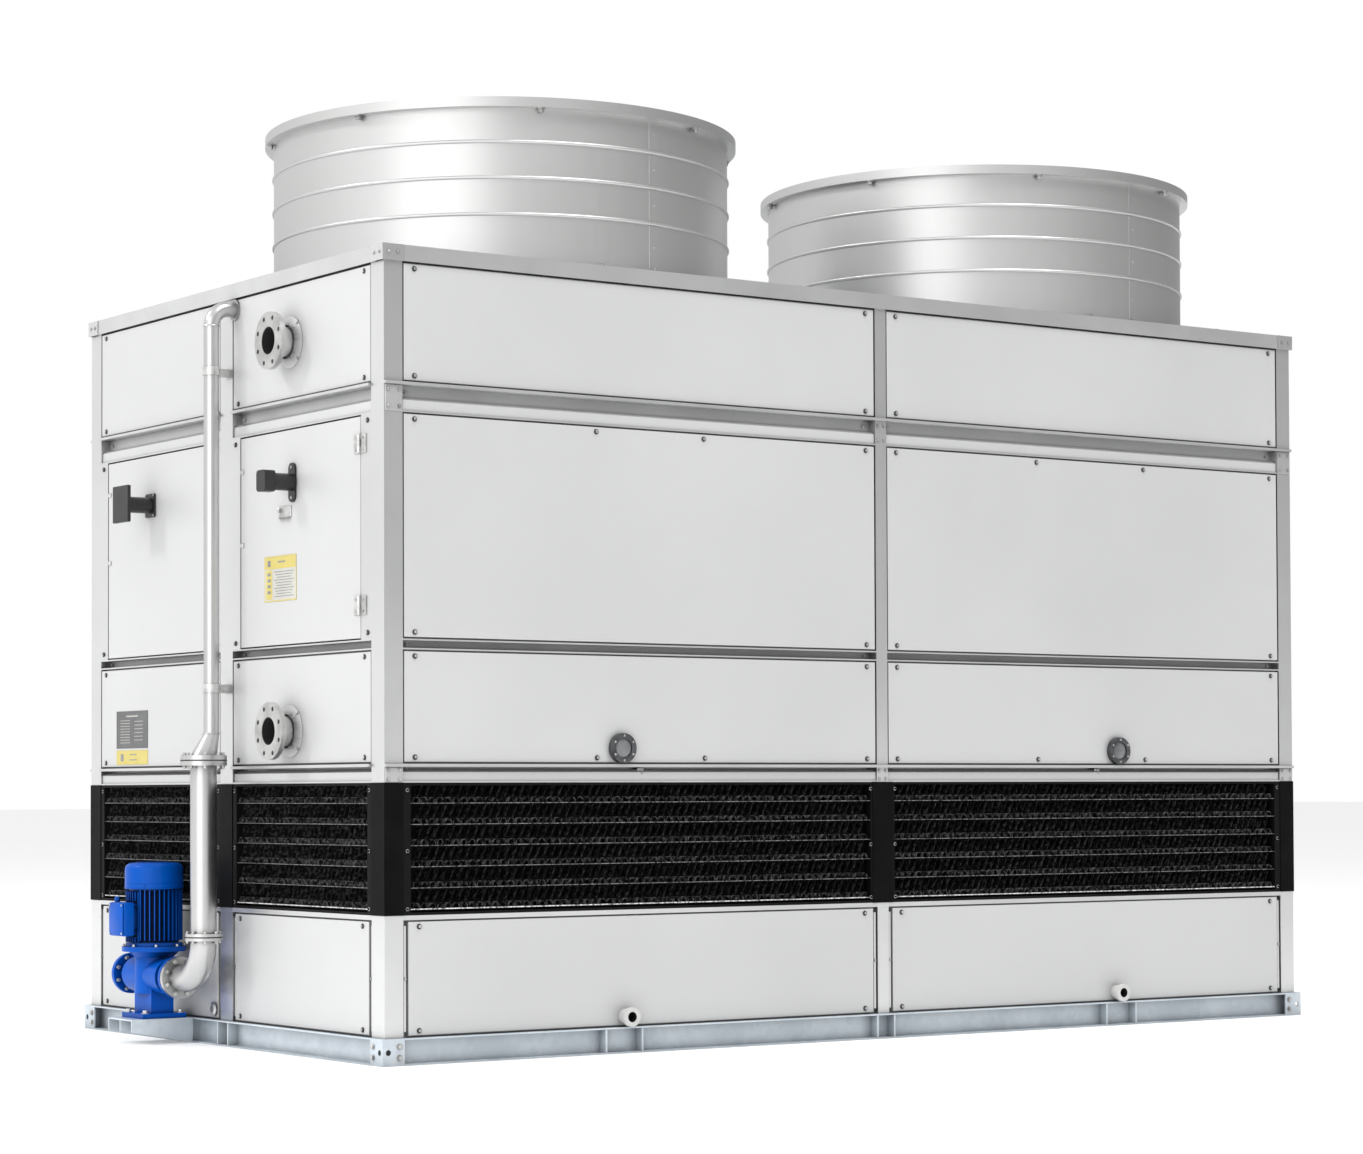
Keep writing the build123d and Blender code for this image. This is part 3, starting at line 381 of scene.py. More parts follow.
floor_low, floor_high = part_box("basin_floor")
water_depth = 0.300
deselect()
bpy.ops.mesh.primitive_grid_add(x_subdivisions=80, y_subdivisions=44, size=1.0,
                                location=(0, 0, floor_high.z + water_depth))
water = bpy.context.object
water.scale = (floor_high.x - floor_low.x, floor_high.y - floor_low.y, 1.0)
settle()
open_all()
bpy.ops.transform.vertex_random(offset=0.0012, seed=4, normal=1.0)
settle()
bpy.ops.object.shade_smooth()
water_finish, tree, shader = plain_material("basin_water", (0.10, 0.15, 0.15), 0.04)
shader.inputs["IOR"].default_value = 1.33
tree.links.new(tone_ramp(tree, noise_value(tree, 1.5), (0.07, 0.11, 0.11), (0.13, 0.19, 0.19)),
               shader.inputs["Base Color"])
fine_relief(tree, shader, noise_value(tree, 7.0), 0.25, 0.004)
mount(water, "basin_water", water_finish)

# ---- Posts and rails -----------------------------------------------------------------
# Folded galvanized sheet. The rails are channels open to the outside whose top lip stands
# out as a drip edge; plates and screws join them to the posts.
coat(post_sheet, "corner_posts", "mid_posts")
# Deep painted shade darkens the rails where they are closed in, most on the web under the lip.
rail_sheet = metal("rail_sheet", (0.60, 0.602, 0.605), (0.68, 0.682, 0.685), (0.29, 0.35), 0.75, 2.5,
                   relief=0.008, shade=(0.050, 0.12))
coat(rail_sheet, "basin_top_rails", "lower_rails", "mid_rails", "upper_rails")

splice_thick = 0.003
rail_lip = 0.011
rail_recess = 0.038
splices, spots = [], []
for rail in ("upper_rails", "lower_rails"):
    rail_low, rail_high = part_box(rail)
    tall = rail_high.z - rail_low.z - rail_lip - 0.004
    middle = (rail_low.z + rail_high.z - rail_lip) / 2
    for side in ("front", "back"):
        for u in (wall_low.x + corner_on_front / 2, wall_high.x - corner_on_front / 2):
            plate = bar((corner_on_front - 0.006, tall, splice_thick), (0, 0, splice_thick / 2), 0.001)
            plate.matrix_world = facing(*wall_spot(side, u, middle))
            splices.append(plate)
            for du, dz in ((-0.024, 0.32), (0.024, 0.32), (-0.024, -0.32), (0.024, -0.32)):
                spots.append(wall_spot(side, u + du, middle + dz * tall, splice_thick))
        for dz in (-0.30, 0.30):
            for du in (-0.016, 0.016):
                spots.append(wall_spot(side, du, middle + dz * tall))
mount(joined(splices), "rail_splice_plates", rail_sheet)
bolts("rail_splice_bolts", spots, 0.0050, 0.005, bolt_steel)

spots = []
for rail, heights in (("upper_rails", (0.076,)), ("lower_rails", (0.048,)), ("mid_rails", (0.020,))):
    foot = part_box(rail)[0].z
    for side in OUT:
        for u0, u1 in bays(side):
            for u in (u0 + 0.035, u1 - 0.035):
                for dz in heights:
                    spots.append(wall_spot(side, u, foot + dz, -rail_recess))
bolts("rail_web_screws", spots, 0.0055, 0.006, bolt_steel)

# Closing strips folded over the lower part of the tall rails, near the wall's face.
strips = []
strip_thick, strip_sunk = 0.003, 0.008
for rail, tall in (("upper_rails", 0.046), ("lower_rails", 0.040)):
    rail_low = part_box(rail)[0]
    for side in OUT:
        for u0, u1 in bays(side):
            strip = bar((u1 - u0 - 0.002, tall, strip_thick), (0, 0, 0), 0.0012)
            pick_faces(strip, lambda face: face.normal.y > 0.9)
            push(0, 0.010, -0.016)
            strip = settle()
            middle = rail_low.z + tall / 2
            strip.matrix_world = facing(*wall_spot(side, (u0 + u1) / 2, middle, -strip_sunk))
            strips.append(strip)
mount(joined(strips), "rail_closing_strips", panel_sheet)

# Clips hold the louvre packs down from the lower rail, one in each long bay.
clips, spots = [], []
clip_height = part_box("lower_rails")[0].z + 0.036
clip_out = 1.165
for side in ("front", "back"):
    for u in (-clip_out, clip_out):
        clip = bar((0.030, 0.040, 0.020), (0, 0, -0.012), 0.002)
        pick_faces(clip, lambda face: face.normal.y < -0.9)
        push(0, -0.014, 0)
        clip = settle()
        clip.matrix_world = facing(*wall_spot(side, u, clip_height, -0.012))
        clips.append(clip)
        spots.append(wall_spot(side, u, clip_height, -0.014))
mount(joined(clips), "louvre_clips", rail_sheet)
bolts("louvre_clip_bolts", spots, 0.0065, 0.008, bolt_steel)

# ---- Inlet louvres -------------------------------------------------------------------
# Black moulded honeycomb packs. Level shelves carry rows of small arches and leaning
# vanes inside a flat frame, screwed to the posts; folded covers hide the post faces.
louvre_low, louvre_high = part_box("front_louvres")
louvre_tall = louvre_high.z - louvre_low.z
louvre_deep = louvre_high.y - louvre_low.y
frame_side, frame_end = 0.032, 0.010
cell_recess, cell_deep, cell_pitch = 0.005, 0.042, 0.034
shelf_count = 6
shelf_pitch = (louvre_tall - 2 * frame_end) / shelf_count

louvre_black, tree, shader = plain_material("louvre_black", (0.004, 0.004, 0.004), 0.6)
shader.inputs["Specular IOR Level"].default_value = 0.12
tree.links.new(spread(tree, noise_value(tree, 25.0), 0.5, 0.7), shader.inputs["Roughness"])
fine_relief(tree, shader, noise_value(tree, 150.0), 0.2, 0.0006)


def moulding(name, dark, light, scale, roughness, start=0.35, end=0.65):
    """Moulded black plastic lightened by noise in broken strokes: on the louvres these are painted highlights
    where light catches the edges.
    """
    material, tree, shader = plain_material(name, light, roughness)
    shader.inputs["Specular IOR Level"].default_value = 0.15
    tone = tone_ramp(tree, noise_value(tree, scale), dark, light, start, end)
    tree.links.new(tone, shader.inputs["Base Color"])
    return material


# Painted highlights: the lighter tones on the lips, foot, arches and vanes stand for light catching the black
# plastic.
shelf_lip_highlight = moulding("louvre_shelf_lip_painted_highlight", (0.008, 0.008, 0.008), (0.31, 0.31, 0.315), 90.0, 0.40, 0.36, 0.66)
foot_lip_highlight = moulding("louvre_foot_lip_painted_highlight", (0.10, 0.10, 0.10), (0.78, 0.78, 0.79), 110.0, 0.40, 0.36, 0.62)
arch_glint = moulding("louvre_arch_painted_glint", (0.004, 0.004, 0.004), (0.12, 0.12, 0.122), 62.0, 0.45, 0.42, 0.66)
vane_glint = moulding("louvre_vane_painted_glint", (0.003, 0.003, 0.003), (0.048, 0.048, 0.049), 70.0, 0.50, 0.48, 0.68)


def repeat(piece, *steps):
    """Repeats a piece by applied arrays, each a count and an offset."""
    bpy.context.view_layer.objects.active = piece
    for count, offset in steps:
        row = piece.modifiers.new("row", "ARRAY")
        row.use_relative_offset = False
        row.use_constant_offset = True
        row.constant_offset_displace = offset
        row.count = count
        bpy.ops.object.modifier_apply(modifier=row.name)
    return piece


def thicken(piece, wall):
    """Gives a sheet its wall."""
    bpy.context.view_layer.objects.active = piece
    solid = piece.modifiers.new("wall", "SOLIDIFY")
    solid.thickness = wall
    solid.offset = 0.0
    bpy.ops.object.modifier_apply(modifier=solid.name)
    return piece


def paint(piece, material):
    piece.data.materials.clear()
    piece.data.materials.append(material)
    return piece


def louvre_tray(wide):
    """The frame, its mouth opened by inset and extrude."""
    tray = bar((wide, louvre_tall, louvre_deep), (0, 0, -louvre_deep / 2))
    pick_faces(tray, lambda face: face.normal.z > 0.9)
    bpy.ops.mesh.inset(thickness=frame_end)
    mouth = (wide - 2 * frame_side) / (wide - 2 * frame_end)
    bpy.ops.transform.resize(value=(mouth, 1.0, 1.0))
    push(0, 0, -cell_deep - cell_recess)
    return paint(settle(), louvre_black)


def louvre_shelves(wide):
    """Dark shelves with a painted highlight along the front lip of each."""
    foot = -louvre_tall / 2 + frame_end + 0.012
    mouth = wide - 2 * frame_side
    lip_front, lip_deep = -cell_recess + 0.0005, 0.003
    shelf = bar((mouth, 0.005, cell_deep), (0, foot, -cell_recess - cell_deep / 2), 0.0012)
    lip = bar((mouth, 0.0024, lip_deep), (0, foot + shelf_pitch, lip_front), 0.0006)
    lips = repeat(paint(lip, shelf_lip_highlight), (shelf_count - 1, (0, shelf_pitch, 0)))
    lowest = bar((mouth, 0.0042, lip_deep), (0, foot, lip_front), 0.0006)
    shelves = repeat(paint(shelf, louvre_black), (shelf_count, (0, shelf_pitch, 0)))
    return joined([shelves, lips, paint(lowest, foot_lip_highlight)])


def louvre_arches(wide):
    """Rows of small arches: half tubes cut by a level plane and drawn upwards."""
    count = int((wide - 2 * frame_side) / cell_pitch)
    start = -cell_pitch * (count - 1) / 2
    foot = -louvre_tall / 2 + frame_end + 0.014
    deselect()
    bpy.ops.mesh.primitive_cylinder_add(vertices=12, radius=cell_pitch * 0.40, depth=cell_deep,
                                        end_fill_type="NOTHING",
                                        location=(start, foot, -cell_recess - cell_deep / 2))
    arch = settle()
    open_all()
    bpy.ops.mesh.bisect(plane_co=(start, foot, 0), plane_no=(0, 1, 0), clear_inner=True)
    bpy.ops.mesh.select_all(action="SELECT")
    bpy.ops.transform.resize(value=(1.0, 1.5, 1.0), center_override=(start, foot, 0))
    arch = thicken(settle(), 0.0011)
    return repeat(paint(arch, arch_glint), (count, (cell_pitch, 0, 0)), (shelf_count, (0, shelf_pitch, 0)))


def louvre_vanes(wide):
    """Leaning vanes between the arches and the shelf above, narrower at the back."""
    count = int((wide - 2 * frame_side) / cell_pitch) - 1
    start = -cell_pitch * (count - 1) / 2
    foot = -louvre_tall / 2 + frame_end + 0.036
    head = -louvre_tall / 2 + frame_end + shelf_pitch + 0.008
    lean = math.radians(24)
    deselect()
    centre = (start, (foot + head) / 2, -cell_recess - cell_deep / 2)
    bpy.ops.mesh.primitive_cube_add(size=1.0, location=centre, rotation=(0, 0, -lean))
    bpy.context.object.scale = (0.0010, (head - foot) / math.cos(lean), cell_deep - 0.003)
    vane = settle()
    pick_faces(vane, lambda face: face.normal.z < -0.9)
    bpy.ops.transform.resize(value=(0.6, 0.7, 1.0))
    vane = paint(settle(), vane_glint)
    return repeat(vane, (count, (cell_pitch, 0, 0)), (shelf_count, (0, shelf_pitch, 0)))


for side in OUT:
    for bay, (u0, u1) in zip(("first", "second"), bays(side)):
        wide = u1 - u0
        parts = [louvre_tray(wide), louvre_shelves(wide), louvre_arches(wide), louvre_vanes(wide)]
        pack = joined(parts)
        middle = (louvre_low.z + louvre_high.z) / 2
        pack.matrix_world = facing(*wall_spot(side, (u0 + u1) / 2, middle))
        mount(pack, f"{side}_louvre_pack_{bay}", None)
        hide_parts(f"{side}_louvres")

cover_black = metal("cover_black", (0.002, 0.002, 0.002), (0.004, 0.004, 0.004), (0.45, 0.60), 0.0,
                    8.0, 500.0)
cover_black.node_tree.nodes["Principled BSDF"].inputs["Specular IOR Level"].default_value = 0.07
coat(cover_black, "louvre_post_covers")

mid_cover_half, frame_screw_in = 0.052, 0.017
frame_screw_heights = (0.568, 0.780, 1.003)
spots = []
for side in OUT:
    for u0, u1 in bays(side):
        for u in (u0 + frame_screw_in, u1 - frame_screw_in):
            on_cover = abs(u) < mid_cover_half + 0.02 and side in ("front", "back")
            u_screw = math.copysign(mid_cover_half + 0.010, u) if on_cover else u
            for z in frame_screw_heights:
                spots.append(wall_spot(side, u_screw, z))
screw = joined([paint(disc(0.0072, 0.0025, sides=16, bevel=0.0006), bolt_steel),
                paint(hex_bolt(0.0042, 0.0060, 1.05), cover_black)])
mount(copies(screw, [facing(*spot) for spot in spots]), "louvre_screws", None)

# ---- Casing panels -------------------------------------------------------------------
# Pale coated sheet folded into trays, each screwed to the posts and rails near its corners
# with hexagon screws on dark sealing washers.
coat(panel_sheet, "lower_panels", "middle_panels", "upper_panels")
washer_rubber, tree, shader = plain_material("washer_rubber", (0.03, 0.03, 0.032), 0.7)
fine_relief(tree, shader, noise_value(tree, 900.0), 0.2, 0.0002)


def sealed_screws(name, spots, body="tower", head=0.0056, seal=0.0098):
    """Panel screws: a hexagon head on a rounded dark washer."""
    ring = paint(disc(seal, 0.0030, sides=18, bevel=0.0008), washer_rubber)
    screw = paint(hex_bolt(head, 0.0075, 1.15), bolt_steel)
    placed = copies(joined([screw, ring]), [facing(*spot) for spot in spots])
    return mount(placed, name, None, body)


screw_in, basin_screw_in, screw_up = 0.050, 0.066, 0.024
spots = []
for storey in ("basin_panels", "lower_panels", "middle_panels", "upper_panels"):
    low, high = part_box(storey)
    edge = basin_screw_in if storey == "basin_panels" else screw_in
    for side in OUT:
        if storey == "middle_panels" and side == "left":
            continue
        for u0, u1 in bays(side):
            for u in (u0 + edge, u1 - edge):
                for z in (low.z + screw_up, high.z - screw_up):
                    spots.append(wall_spot(side, u, z))
lower_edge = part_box("lower_panels")[0].z + screw_up
middle_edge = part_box("middle_panels")[1].z - screw_up
edge_screw_halves = (0.25, 0.30)
for side in ("front", "back"):
    for (u0, u1), half in zip(long_bays, edge_screw_halves):
        bay_middle = u0 / 2 + u1 / 2
        for u in (bay_middle - half, bay_middle + half):
            spots.append(wall_spot(side, u, lower_edge))
            spots.append(wall_spot(side, u, middle_edge))
sealed_screws("panel_screws", spots)

# ---- Access doors --------------------------------------------------------------------
# Two flat steel doors on butt hinges in the pump end, between pale stiles. Each has a
# black standing handle. The near door carries a label plate, the tray below the far door
# a rating plate and a note plate, all with plain marks.
coat(post_sheet, "door_stiles")
coat(panel_sheet, "near_door", "far_door")
hinge_steel = metal("hinge_steel", (0.50, 0.50, 0.49), (0.74, 0.74, 0.73), (0.29, 0.40), 0.85, 25.0)
coat(hinge_steel, "hinge_fixed_leaves", "near_door_hinges", "far_door_hinges")
handle_black = metal("handle_black", (0.006, 0.006, 0.007), (0.014, 0.014, 0.015), (0.29, 0.40), 0.0,
                     14.0, 700.0, 0.04)
coat(handle_black, "near_door_handle", "far_door_handle")

hinge_heights = (1.683, 2.280)
hinge_plate, leaf_in, hinge_gap = 0.004, 0.026, 0.0025
hinge_screw_r, hinge_screw_tall = 0.0055, 0.0025
doors = {"near": ("near_door_body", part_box("near_door")), "far": ("far_door_body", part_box("far_door"))}


def slotted_screw(radius, height):
    """A low round head with a slot pressed into it."""
    head = disc(radius, height, sides=20, bevel=radius * 0.18)
    slot = bar((radius * 1.6, radius * 0.22, height * 0.6), (0, 0, height * 0.85))
    cut = head.modifiers.new("slot", "BOOLEAN")
    cut.operation = "DIFFERENCE"
    cut.object = slot
    cut.solver = "EXACT"
    bpy.context.view_layer.objects.active = head
    bpy.ops.object.modifier_apply(modifier=cut.name)
    bpy.data.objects.remove(slot)
    return head


def slotted_screws(name, spots, radius, height, material, body="tower"):
    placed = copies(slotted_screw(radius, height), [facing(*spot) for spot in spots])
    return mount(placed, name, material, body)


fixed_spots = []
for key, (body, (low, high)) in doors.items():
    axis_y = low.y - hinge_gap
    moving_spots = []
    for z in hinge_heights:
        for dz in (-0.022, 0.022):
            fixed_spots.append(wall_spot("left", axis_y - leaf_in, z + dz, hinge_plate))
            moving_spots.append(wall_spot("left", axis_y + leaf_in, z + dz, hinge_plate))
    slotted_screws(f"{key}_door_hinge_screws", moving_spots, hinge_screw_r, hinge_screw_tall, bolt_steel,
                   body)
slotted_screws("stile_hinge_screws", fixed_spots, hinge_screw_r, hinge_screw_tall, bolt_steel)

stile_low, stile_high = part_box("door_stiles")
stile_screw_in = 0.026
spots = [wall_spot("left", u, z)
         for u0, u1 in end_bays
         for u in (u0 + stile_screw_in, u1 - stile_screw_in)
         for z in (stile_low.z + screw_up, stile_high.z - screw_up)]
sealed_screws("stile_screws", spots)

# Screws through the handle plates.
handle_plate = 0.008
near_low, near_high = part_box("near_door_handle")
near_y, handle_z = (near_low.y + near_high.y) / 2, (near_low.z + near_high.z) / 2
spots = [wall_spot("left", near_y, handle_z + dz, handle_plate) for dz in (-0.058, 0.058)]
slotted_screws("near_handle_screws", spots, 0.0065, 0.003, bolt_steel, "near_door_body")
far_y = sum(corner.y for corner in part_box("far_door_handle")) / 2
spots = [wall_spot("left", far_y + dy, handle_z + dz, handle_plate)
         for dy in (-0.036, 0.036) for dz in (-0.041, 0.041)]
slotted_screws("far_handle_screws", spots, 0.0050, 0.003, bolt_steel, "far_door_body")

# The keeper below the near handle: a bright bent plate with one bolt.
keeper_y, keeper_z = near_y + 0.062, handle_z - 0.108
keeper = bar((0.100, 0.044, 0.004), (0, 0, 0.002), 0.0012)
pick_faces(keeper, lambda face: face.normal.y < -0.9)
push(0, -0.004, 0.014)
bpy.ops.transform.resize(value=(0.8, 1.0, 1.0))
keeper = settle()
keeper.matrix_world = facing(*wall_spot("left", keeper_y, keeper_z))
mount(keeper, "near_door_keeper", hinge_steel, "near_door_body")
spots = [wall_spot("left", keeper_y + 0.036, keeper_z + 0.008, 0.004)]
bolts("near_keeper_bolt", spots, 0.0085, 0.010, hinge_steel, "near_door_body",
      washer=1.3)

# Small latch clips on the free edge of each door.
for key, (body, (low, high)) in doors.items():
    clips = []
    for z in (1.963, 2.250):
        clip = bar((0.022, 0.016, 0.006), (0, 0, 0.003), 0.0015)
        clip.matrix_world = facing(*wall_spot("left", high.y - 0.016, z))
        clips.append(clip)
    mount(joined(clips), f"{key}_door_clips", hinge_steel, body)


def plate_with_frame(name, wide, tall, thick, edge, y, z, frame_finish, field_finish, body):
    """A riveted plate: a raised edge round a sunk field."""
    plate = bar((wide, tall, thick), (0, 0, thick / 2), 0.0004)
    plate.data.materials.append(frame_finish)
    plate.data.materials.append(field_finish)
    pick_faces(plate, lambda face: face.normal.z > 0.9)
    bpy.ops.mesh.inset(thickness=edge)
    bpy.ops.mesh.inset(thickness=0.0006, depth=-thick * 0.4)
    bpy.context.object.active_material_index = 1
    bpy.ops.object.material_slot_assign()
    plate = settle()
    plate.matrix_world = facing(*wall_spot("left", y, z))
    return mount(plate, name, None, body)


def label_marks(name, rows, y, z, proud, finish, body):
    """Plain bars printed on a plate, each (across, up, width, height) from its middle."""
    marks = []
    for across, up, wide, tall in rows:
        mark = bar((wide, tall, 0.0003), (-across, up, 0.00015), 0.0001)
        mark.matrix_world = facing(*wall_spot("left", y, z, proud))
        marks.append(mark)
    return mount(joined(marks), name, finish, body)


label_yellow = metal("label_yellow", (0.53, 0.44, 0.12), (0.58, 0.49, 0.15), (0.40, 0.52), 0.0, 9.0)
label_pale = metal("label_pale", (0.48, 0.475, 0.44), (0.53, 0.525, 0.49), (0.40, 0.52), 0.0, 9.0)
label_grey = metal("label_grey", (0.110, 0.112, 0.114), (0.140, 0.142, 0.145), (0.35, 0.50), 0.2, 9.0)
print_grey = metal("print_grey", (0.20, 0.20, 0.205), (0.27, 0.27, 0.275), (0.40, 0.52), 0.0, 9.0)

label_y, label_z = -0.4505, 1.8175
plate_with_frame("near_door_label", 0.259, 0.175, 0.0015, 0.004, label_y, label_z,
                 label_yellow, label_pale, "near_door_body")
label_marks("near_label_header", [(0, 0.060, 0.244, 0.044), (0.090, -0.022, 0.050, 0.112)],
            label_y, label_z, 0.0010, label_yellow, "near_door_body")
text_rows = [(-0.030, 0.026 - 0.0105 * n, 0.158 - 0.020 * (n % 3), 0.0024) for n in range(10)]
picture_rows = [(0.090, 0.018 - 0.023 * n, 0.026, 0.012) for n in range(4)]
label_marks("near_label_marks",
            [(0.090, 0.060, 0.024, 0.024), (-0.010, 0.064, 0.060, 0.006), *picture_rows, *text_rows],
            label_y, label_z, 0.0013, print_grey, "near_door_body")
rating_y, rating_z = 0.8535, 1.2595
plate_with_frame("rating_plate", 0.297, 0.155, 0.0015, 0.004, rating_y, rating_z,
                 label_grey, label_grey, "tower")
rating_rows = [(0.0, 0.056, 0.110, 0.005)]
rating_rows += [(0.066, 0.038 - 0.0115 * n, 0.090, 0.0022) for n in range(9)]
rating_rows += [(-0.062, 0.034 - 0.0155 * n, 0.080, 0.0022) for n in range(6)]
label_marks("rating_plate_marks", rating_rows, rating_y, rating_z, 0.0010, label_pale, "tower")
note_y, note_z = 0.8535, 1.1440
plate_with_frame("note_plate", 0.297, 0.060, 0.0012, 0.003, note_y, note_z,
                 label_yellow, label_yellow, "tower")
note_rows = [(0.095, 0.0, 0.026, 0.030), (-0.010, 0.012, 0.060, 0.004), (-0.010, -0.010, 0.070, 0.004)]
label_marks("note_plate_marks", note_rows, note_y, note_z, 0.0009, print_grey, "tower")

# ---- Coil ----------------------------------------------------------------------------
# Serpentine rows of galvanized steel tube between two end sheets, seen when a door is
# open. Return bends join each run to the one below it.
coil_low, coil_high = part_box("coil_bundle")
tube_r, tube_columns, tube_rows = 0.0135, 38, 28
tube_pitch_y = 0.0600
tube_pitch_z = 0.0540
sheet_thick, bend_room = 0.006, 0.050
first_y = -tube_pitch_y * (tube_columns - 1) / 2
first_z = (coil_low.z + coil_high.z) / 2 - tube_pitch_z * (tube_rows - 1) / 2
sheet_left, sheet_right = coil_low.x + bend_room, coil_high.x - 0.070 - bend_room
coil_zinc = galvanized("coil_zinc", (0.26, 0.28, 0.30), (0.44, 0.46, 0.48))

deselect()
bpy.ops.mesh.primitive_cylinder_add(vertices=8, radius=tube_r, depth=sheet_right - sheet_left,
                                    end_fill_type="NOTHING", rotation=(0, math.pi / 2, 0),
                                    location=((sheet_left + sheet_right) / 2, first_y, first_z))
tubes = repeat(settle(), (tube_columns, (0, tube_pitch_y, 0)), (tube_rows, (0, 0, tube_pitch_z)))
bpy.ops.object.shade_smooth()
coil_parts = [tubes]
for x, turn, first_row in ((sheet_left, -1, 0), (sheet_right, 1, 1)):
    deselect()
    z = first_z + first_row * tube_pitch_z
    bpy.ops.mesh.primitive_circle_add(vertices=8, radius=tube_r, rotation=(0, math.pi / 2, 0),
                                      location=(x, first_y, z))
    settle()
    open_all()
    bpy.ops.mesh.spin(steps=5, angle=math.pi * turn, center=(x, first_y, z + tube_pitch_z / 2),
                      axis=(0, 1, 0))
    bpy.ops.mesh.select_all(action="SELECT")
    bpy.ops.mesh.remove_doubles(threshold=0.0001)
    bpy.ops.mesh.normals_make_consistent(inside=False)
    bend = settle()
    count = (tube_rows - first_row) // 2
    bend = repeat(bend, (tube_columns, (0, tube_pitch_y, 0)), (count, (0, 0, 2 * tube_pitch_z)))
    bpy.ops.object.shade_smooth()
    coil_parts.append(bend)
half_y = -first_y + 0.045
for x in (sheet_left, sheet_right):
    centre = (x, 0, (coil_low.z + coil_high.z) / 2)
    end_sheet = bar((sheet_thick, 2 * half_y, coil_high.z - coil_low.z), centre, 0.001)
    pick_faces(end_sheet, lambda face: abs(face.normal.y) > 0.9)
    flange = 0.040 if x < 0 else -0.040
    push(flange, 0, 0)
    coil_parts.append(settle())
coil = mount(joined(coil_parts), "coil_tubes", coil_zinc)
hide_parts("coil_bundle")

# ---- Spray header and drift eliminators ----------------------------------------------
# A spray main with cross branches and small nozzles over the coil, and above them the
# eliminator packs of thin corrugated blades that catch droplets below the fans.
header_plastic = metal("header_plastic", (0.05, 0.055, 0.06), (0.10, 0.105, 0.11), (0.4, 0.55), 0.0, 5.0)
coat(header_plastic, "spray_header")
coat(coil_zinc, "coil_stubs")
header_low, header_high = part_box("spray_header")
header_mid = (header_low.z + header_high.z) / 2
nozzle = disc(0.012, 0.026, (0, 0, 0.012), sides=12)
pick_faces(nozzle, lambda face: face.normal.z > 0.9)
push(0, 0, 0.018)
bpy.ops.transform.resize(value=(1.9, 1.9, 1.0))
nozzle = settle()
branch_pitch = 0.400
branch_count = int((header_high.x - header_low.x - branch_pitch) // branch_pitch) + 1
spots = []
nozzle_count, nozzle_in = 10, 0.100
for n in range(branch_count):
    x = header_low.x + branch_pitch * (n + 1)
    for m in range(nozzle_count):
        y = header_low.y + nozzle_in + m * (header_high.y - header_low.y - 2 * nozzle_in) / (nozzle_count - 1)
        spots.append(facing((x, y, header_mid), (0, 0, -1)))
mount(copies(nozzle, spots), "spray_nozzles", header_plastic)

eliminator_low, eliminator_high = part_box("drift_eliminator")
blade_pitch_y, blade_sheet = 0.026, 0.0012
tall = eliminator_high.z - eliminator_low.z
deselect()
bpy.ops.mesh.primitive_plane_add(size=1.0, rotation=(math.pi / 2 - 0.35, 0, 0),
                                 location=(0, eliminator_low.y + 0.012, eliminator_low.z + tall / 6))
bpy.context.object.scale = (eliminator_high.x - eliminator_low.x, tall / 3, 1.0)
blade = settle()
crest = max(vertex.co.z for vertex in blade.data.vertices)
bpy.ops.object.mode_set(mode="EDIT")
bpy.ops.mesh.select_mode(type="EDGE")
bpy.ops.mesh.select_all(action="DESELECT")
bpy.ops.object.mode_set(mode="OBJECT")
for edge in blade.data.edges:
    edge.select = all(blade.data.vertices[v].co.z > crest - 1e-4 for v in edge.vertices)
bpy.ops.object.mode_set(mode="EDIT")
for sway in (-0.006, 0.006):
    push(0, sway, tall / 3)
bpy.ops.mesh.select_mode(type="FACE")
blade = thicken(settle(), blade_sheet)
blade_rows = int((eliminator_high.y - eliminator_low.y - 0.03) / blade_pitch_y)
blades = repeat(blade, (blade_rows, (0, blade_pitch_y, 0)))
eliminator_black = moulding("eliminator_black", (0.010, 0.010, 0.011), (0.030, 0.030, 0.032), 6.0, 0.55)
mount(blades, "drift_eliminator_blades", eliminator_black)
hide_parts("drift_eliminator")

# ---- Coil connections ----------------------------------------------------------------
# Two steel pipe ends with machined flanges, welded into round wall plates on the end wall.
# The bores are lined near-black as painted shade and a thin bright line shows where each is faced.
machined = metal("machined_steel", (0.40, 0.40, 0.395), (0.60, 0.60, 0.59), (0.29, 0.42), 0.85,
                 10.0, 500.0, 0.02)
coat(machined, "coil_connections")
connection_low, connection_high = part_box("coil_connections")
connection_y = (connection_low.y + connection_high.y) / 2
flange_r, bore_r, pipe_r, wall_plate_r, wall_bolt_r = 0.110, 0.053, 0.05715, 0.100, 0.094
connection_heights = (connection_low.z + flange_r, connection_high.z - flange_r)
# Near-black bore lining: painted shade for the shadow inside each pipe.
coil_bore_shade, tree, shader = plain_material("coil_bore_shade", (0.012, 0.012, 0.012), 0.8)
fine_relief(tree, shader, noise_value(tree, 200.0), 0.3, 0.0008)


def round_ring(radius, thick, centre=(0, 0, 0), sides=48):
    """A ring of round section, such as a weld or a rolled edge."""
    deselect()
    bpy.ops.mesh.primitive_torus_add(major_segments=sides, minor_segments=8, major_radius=radius,
                                     minor_radius=thick, location=centre)
    return settle()


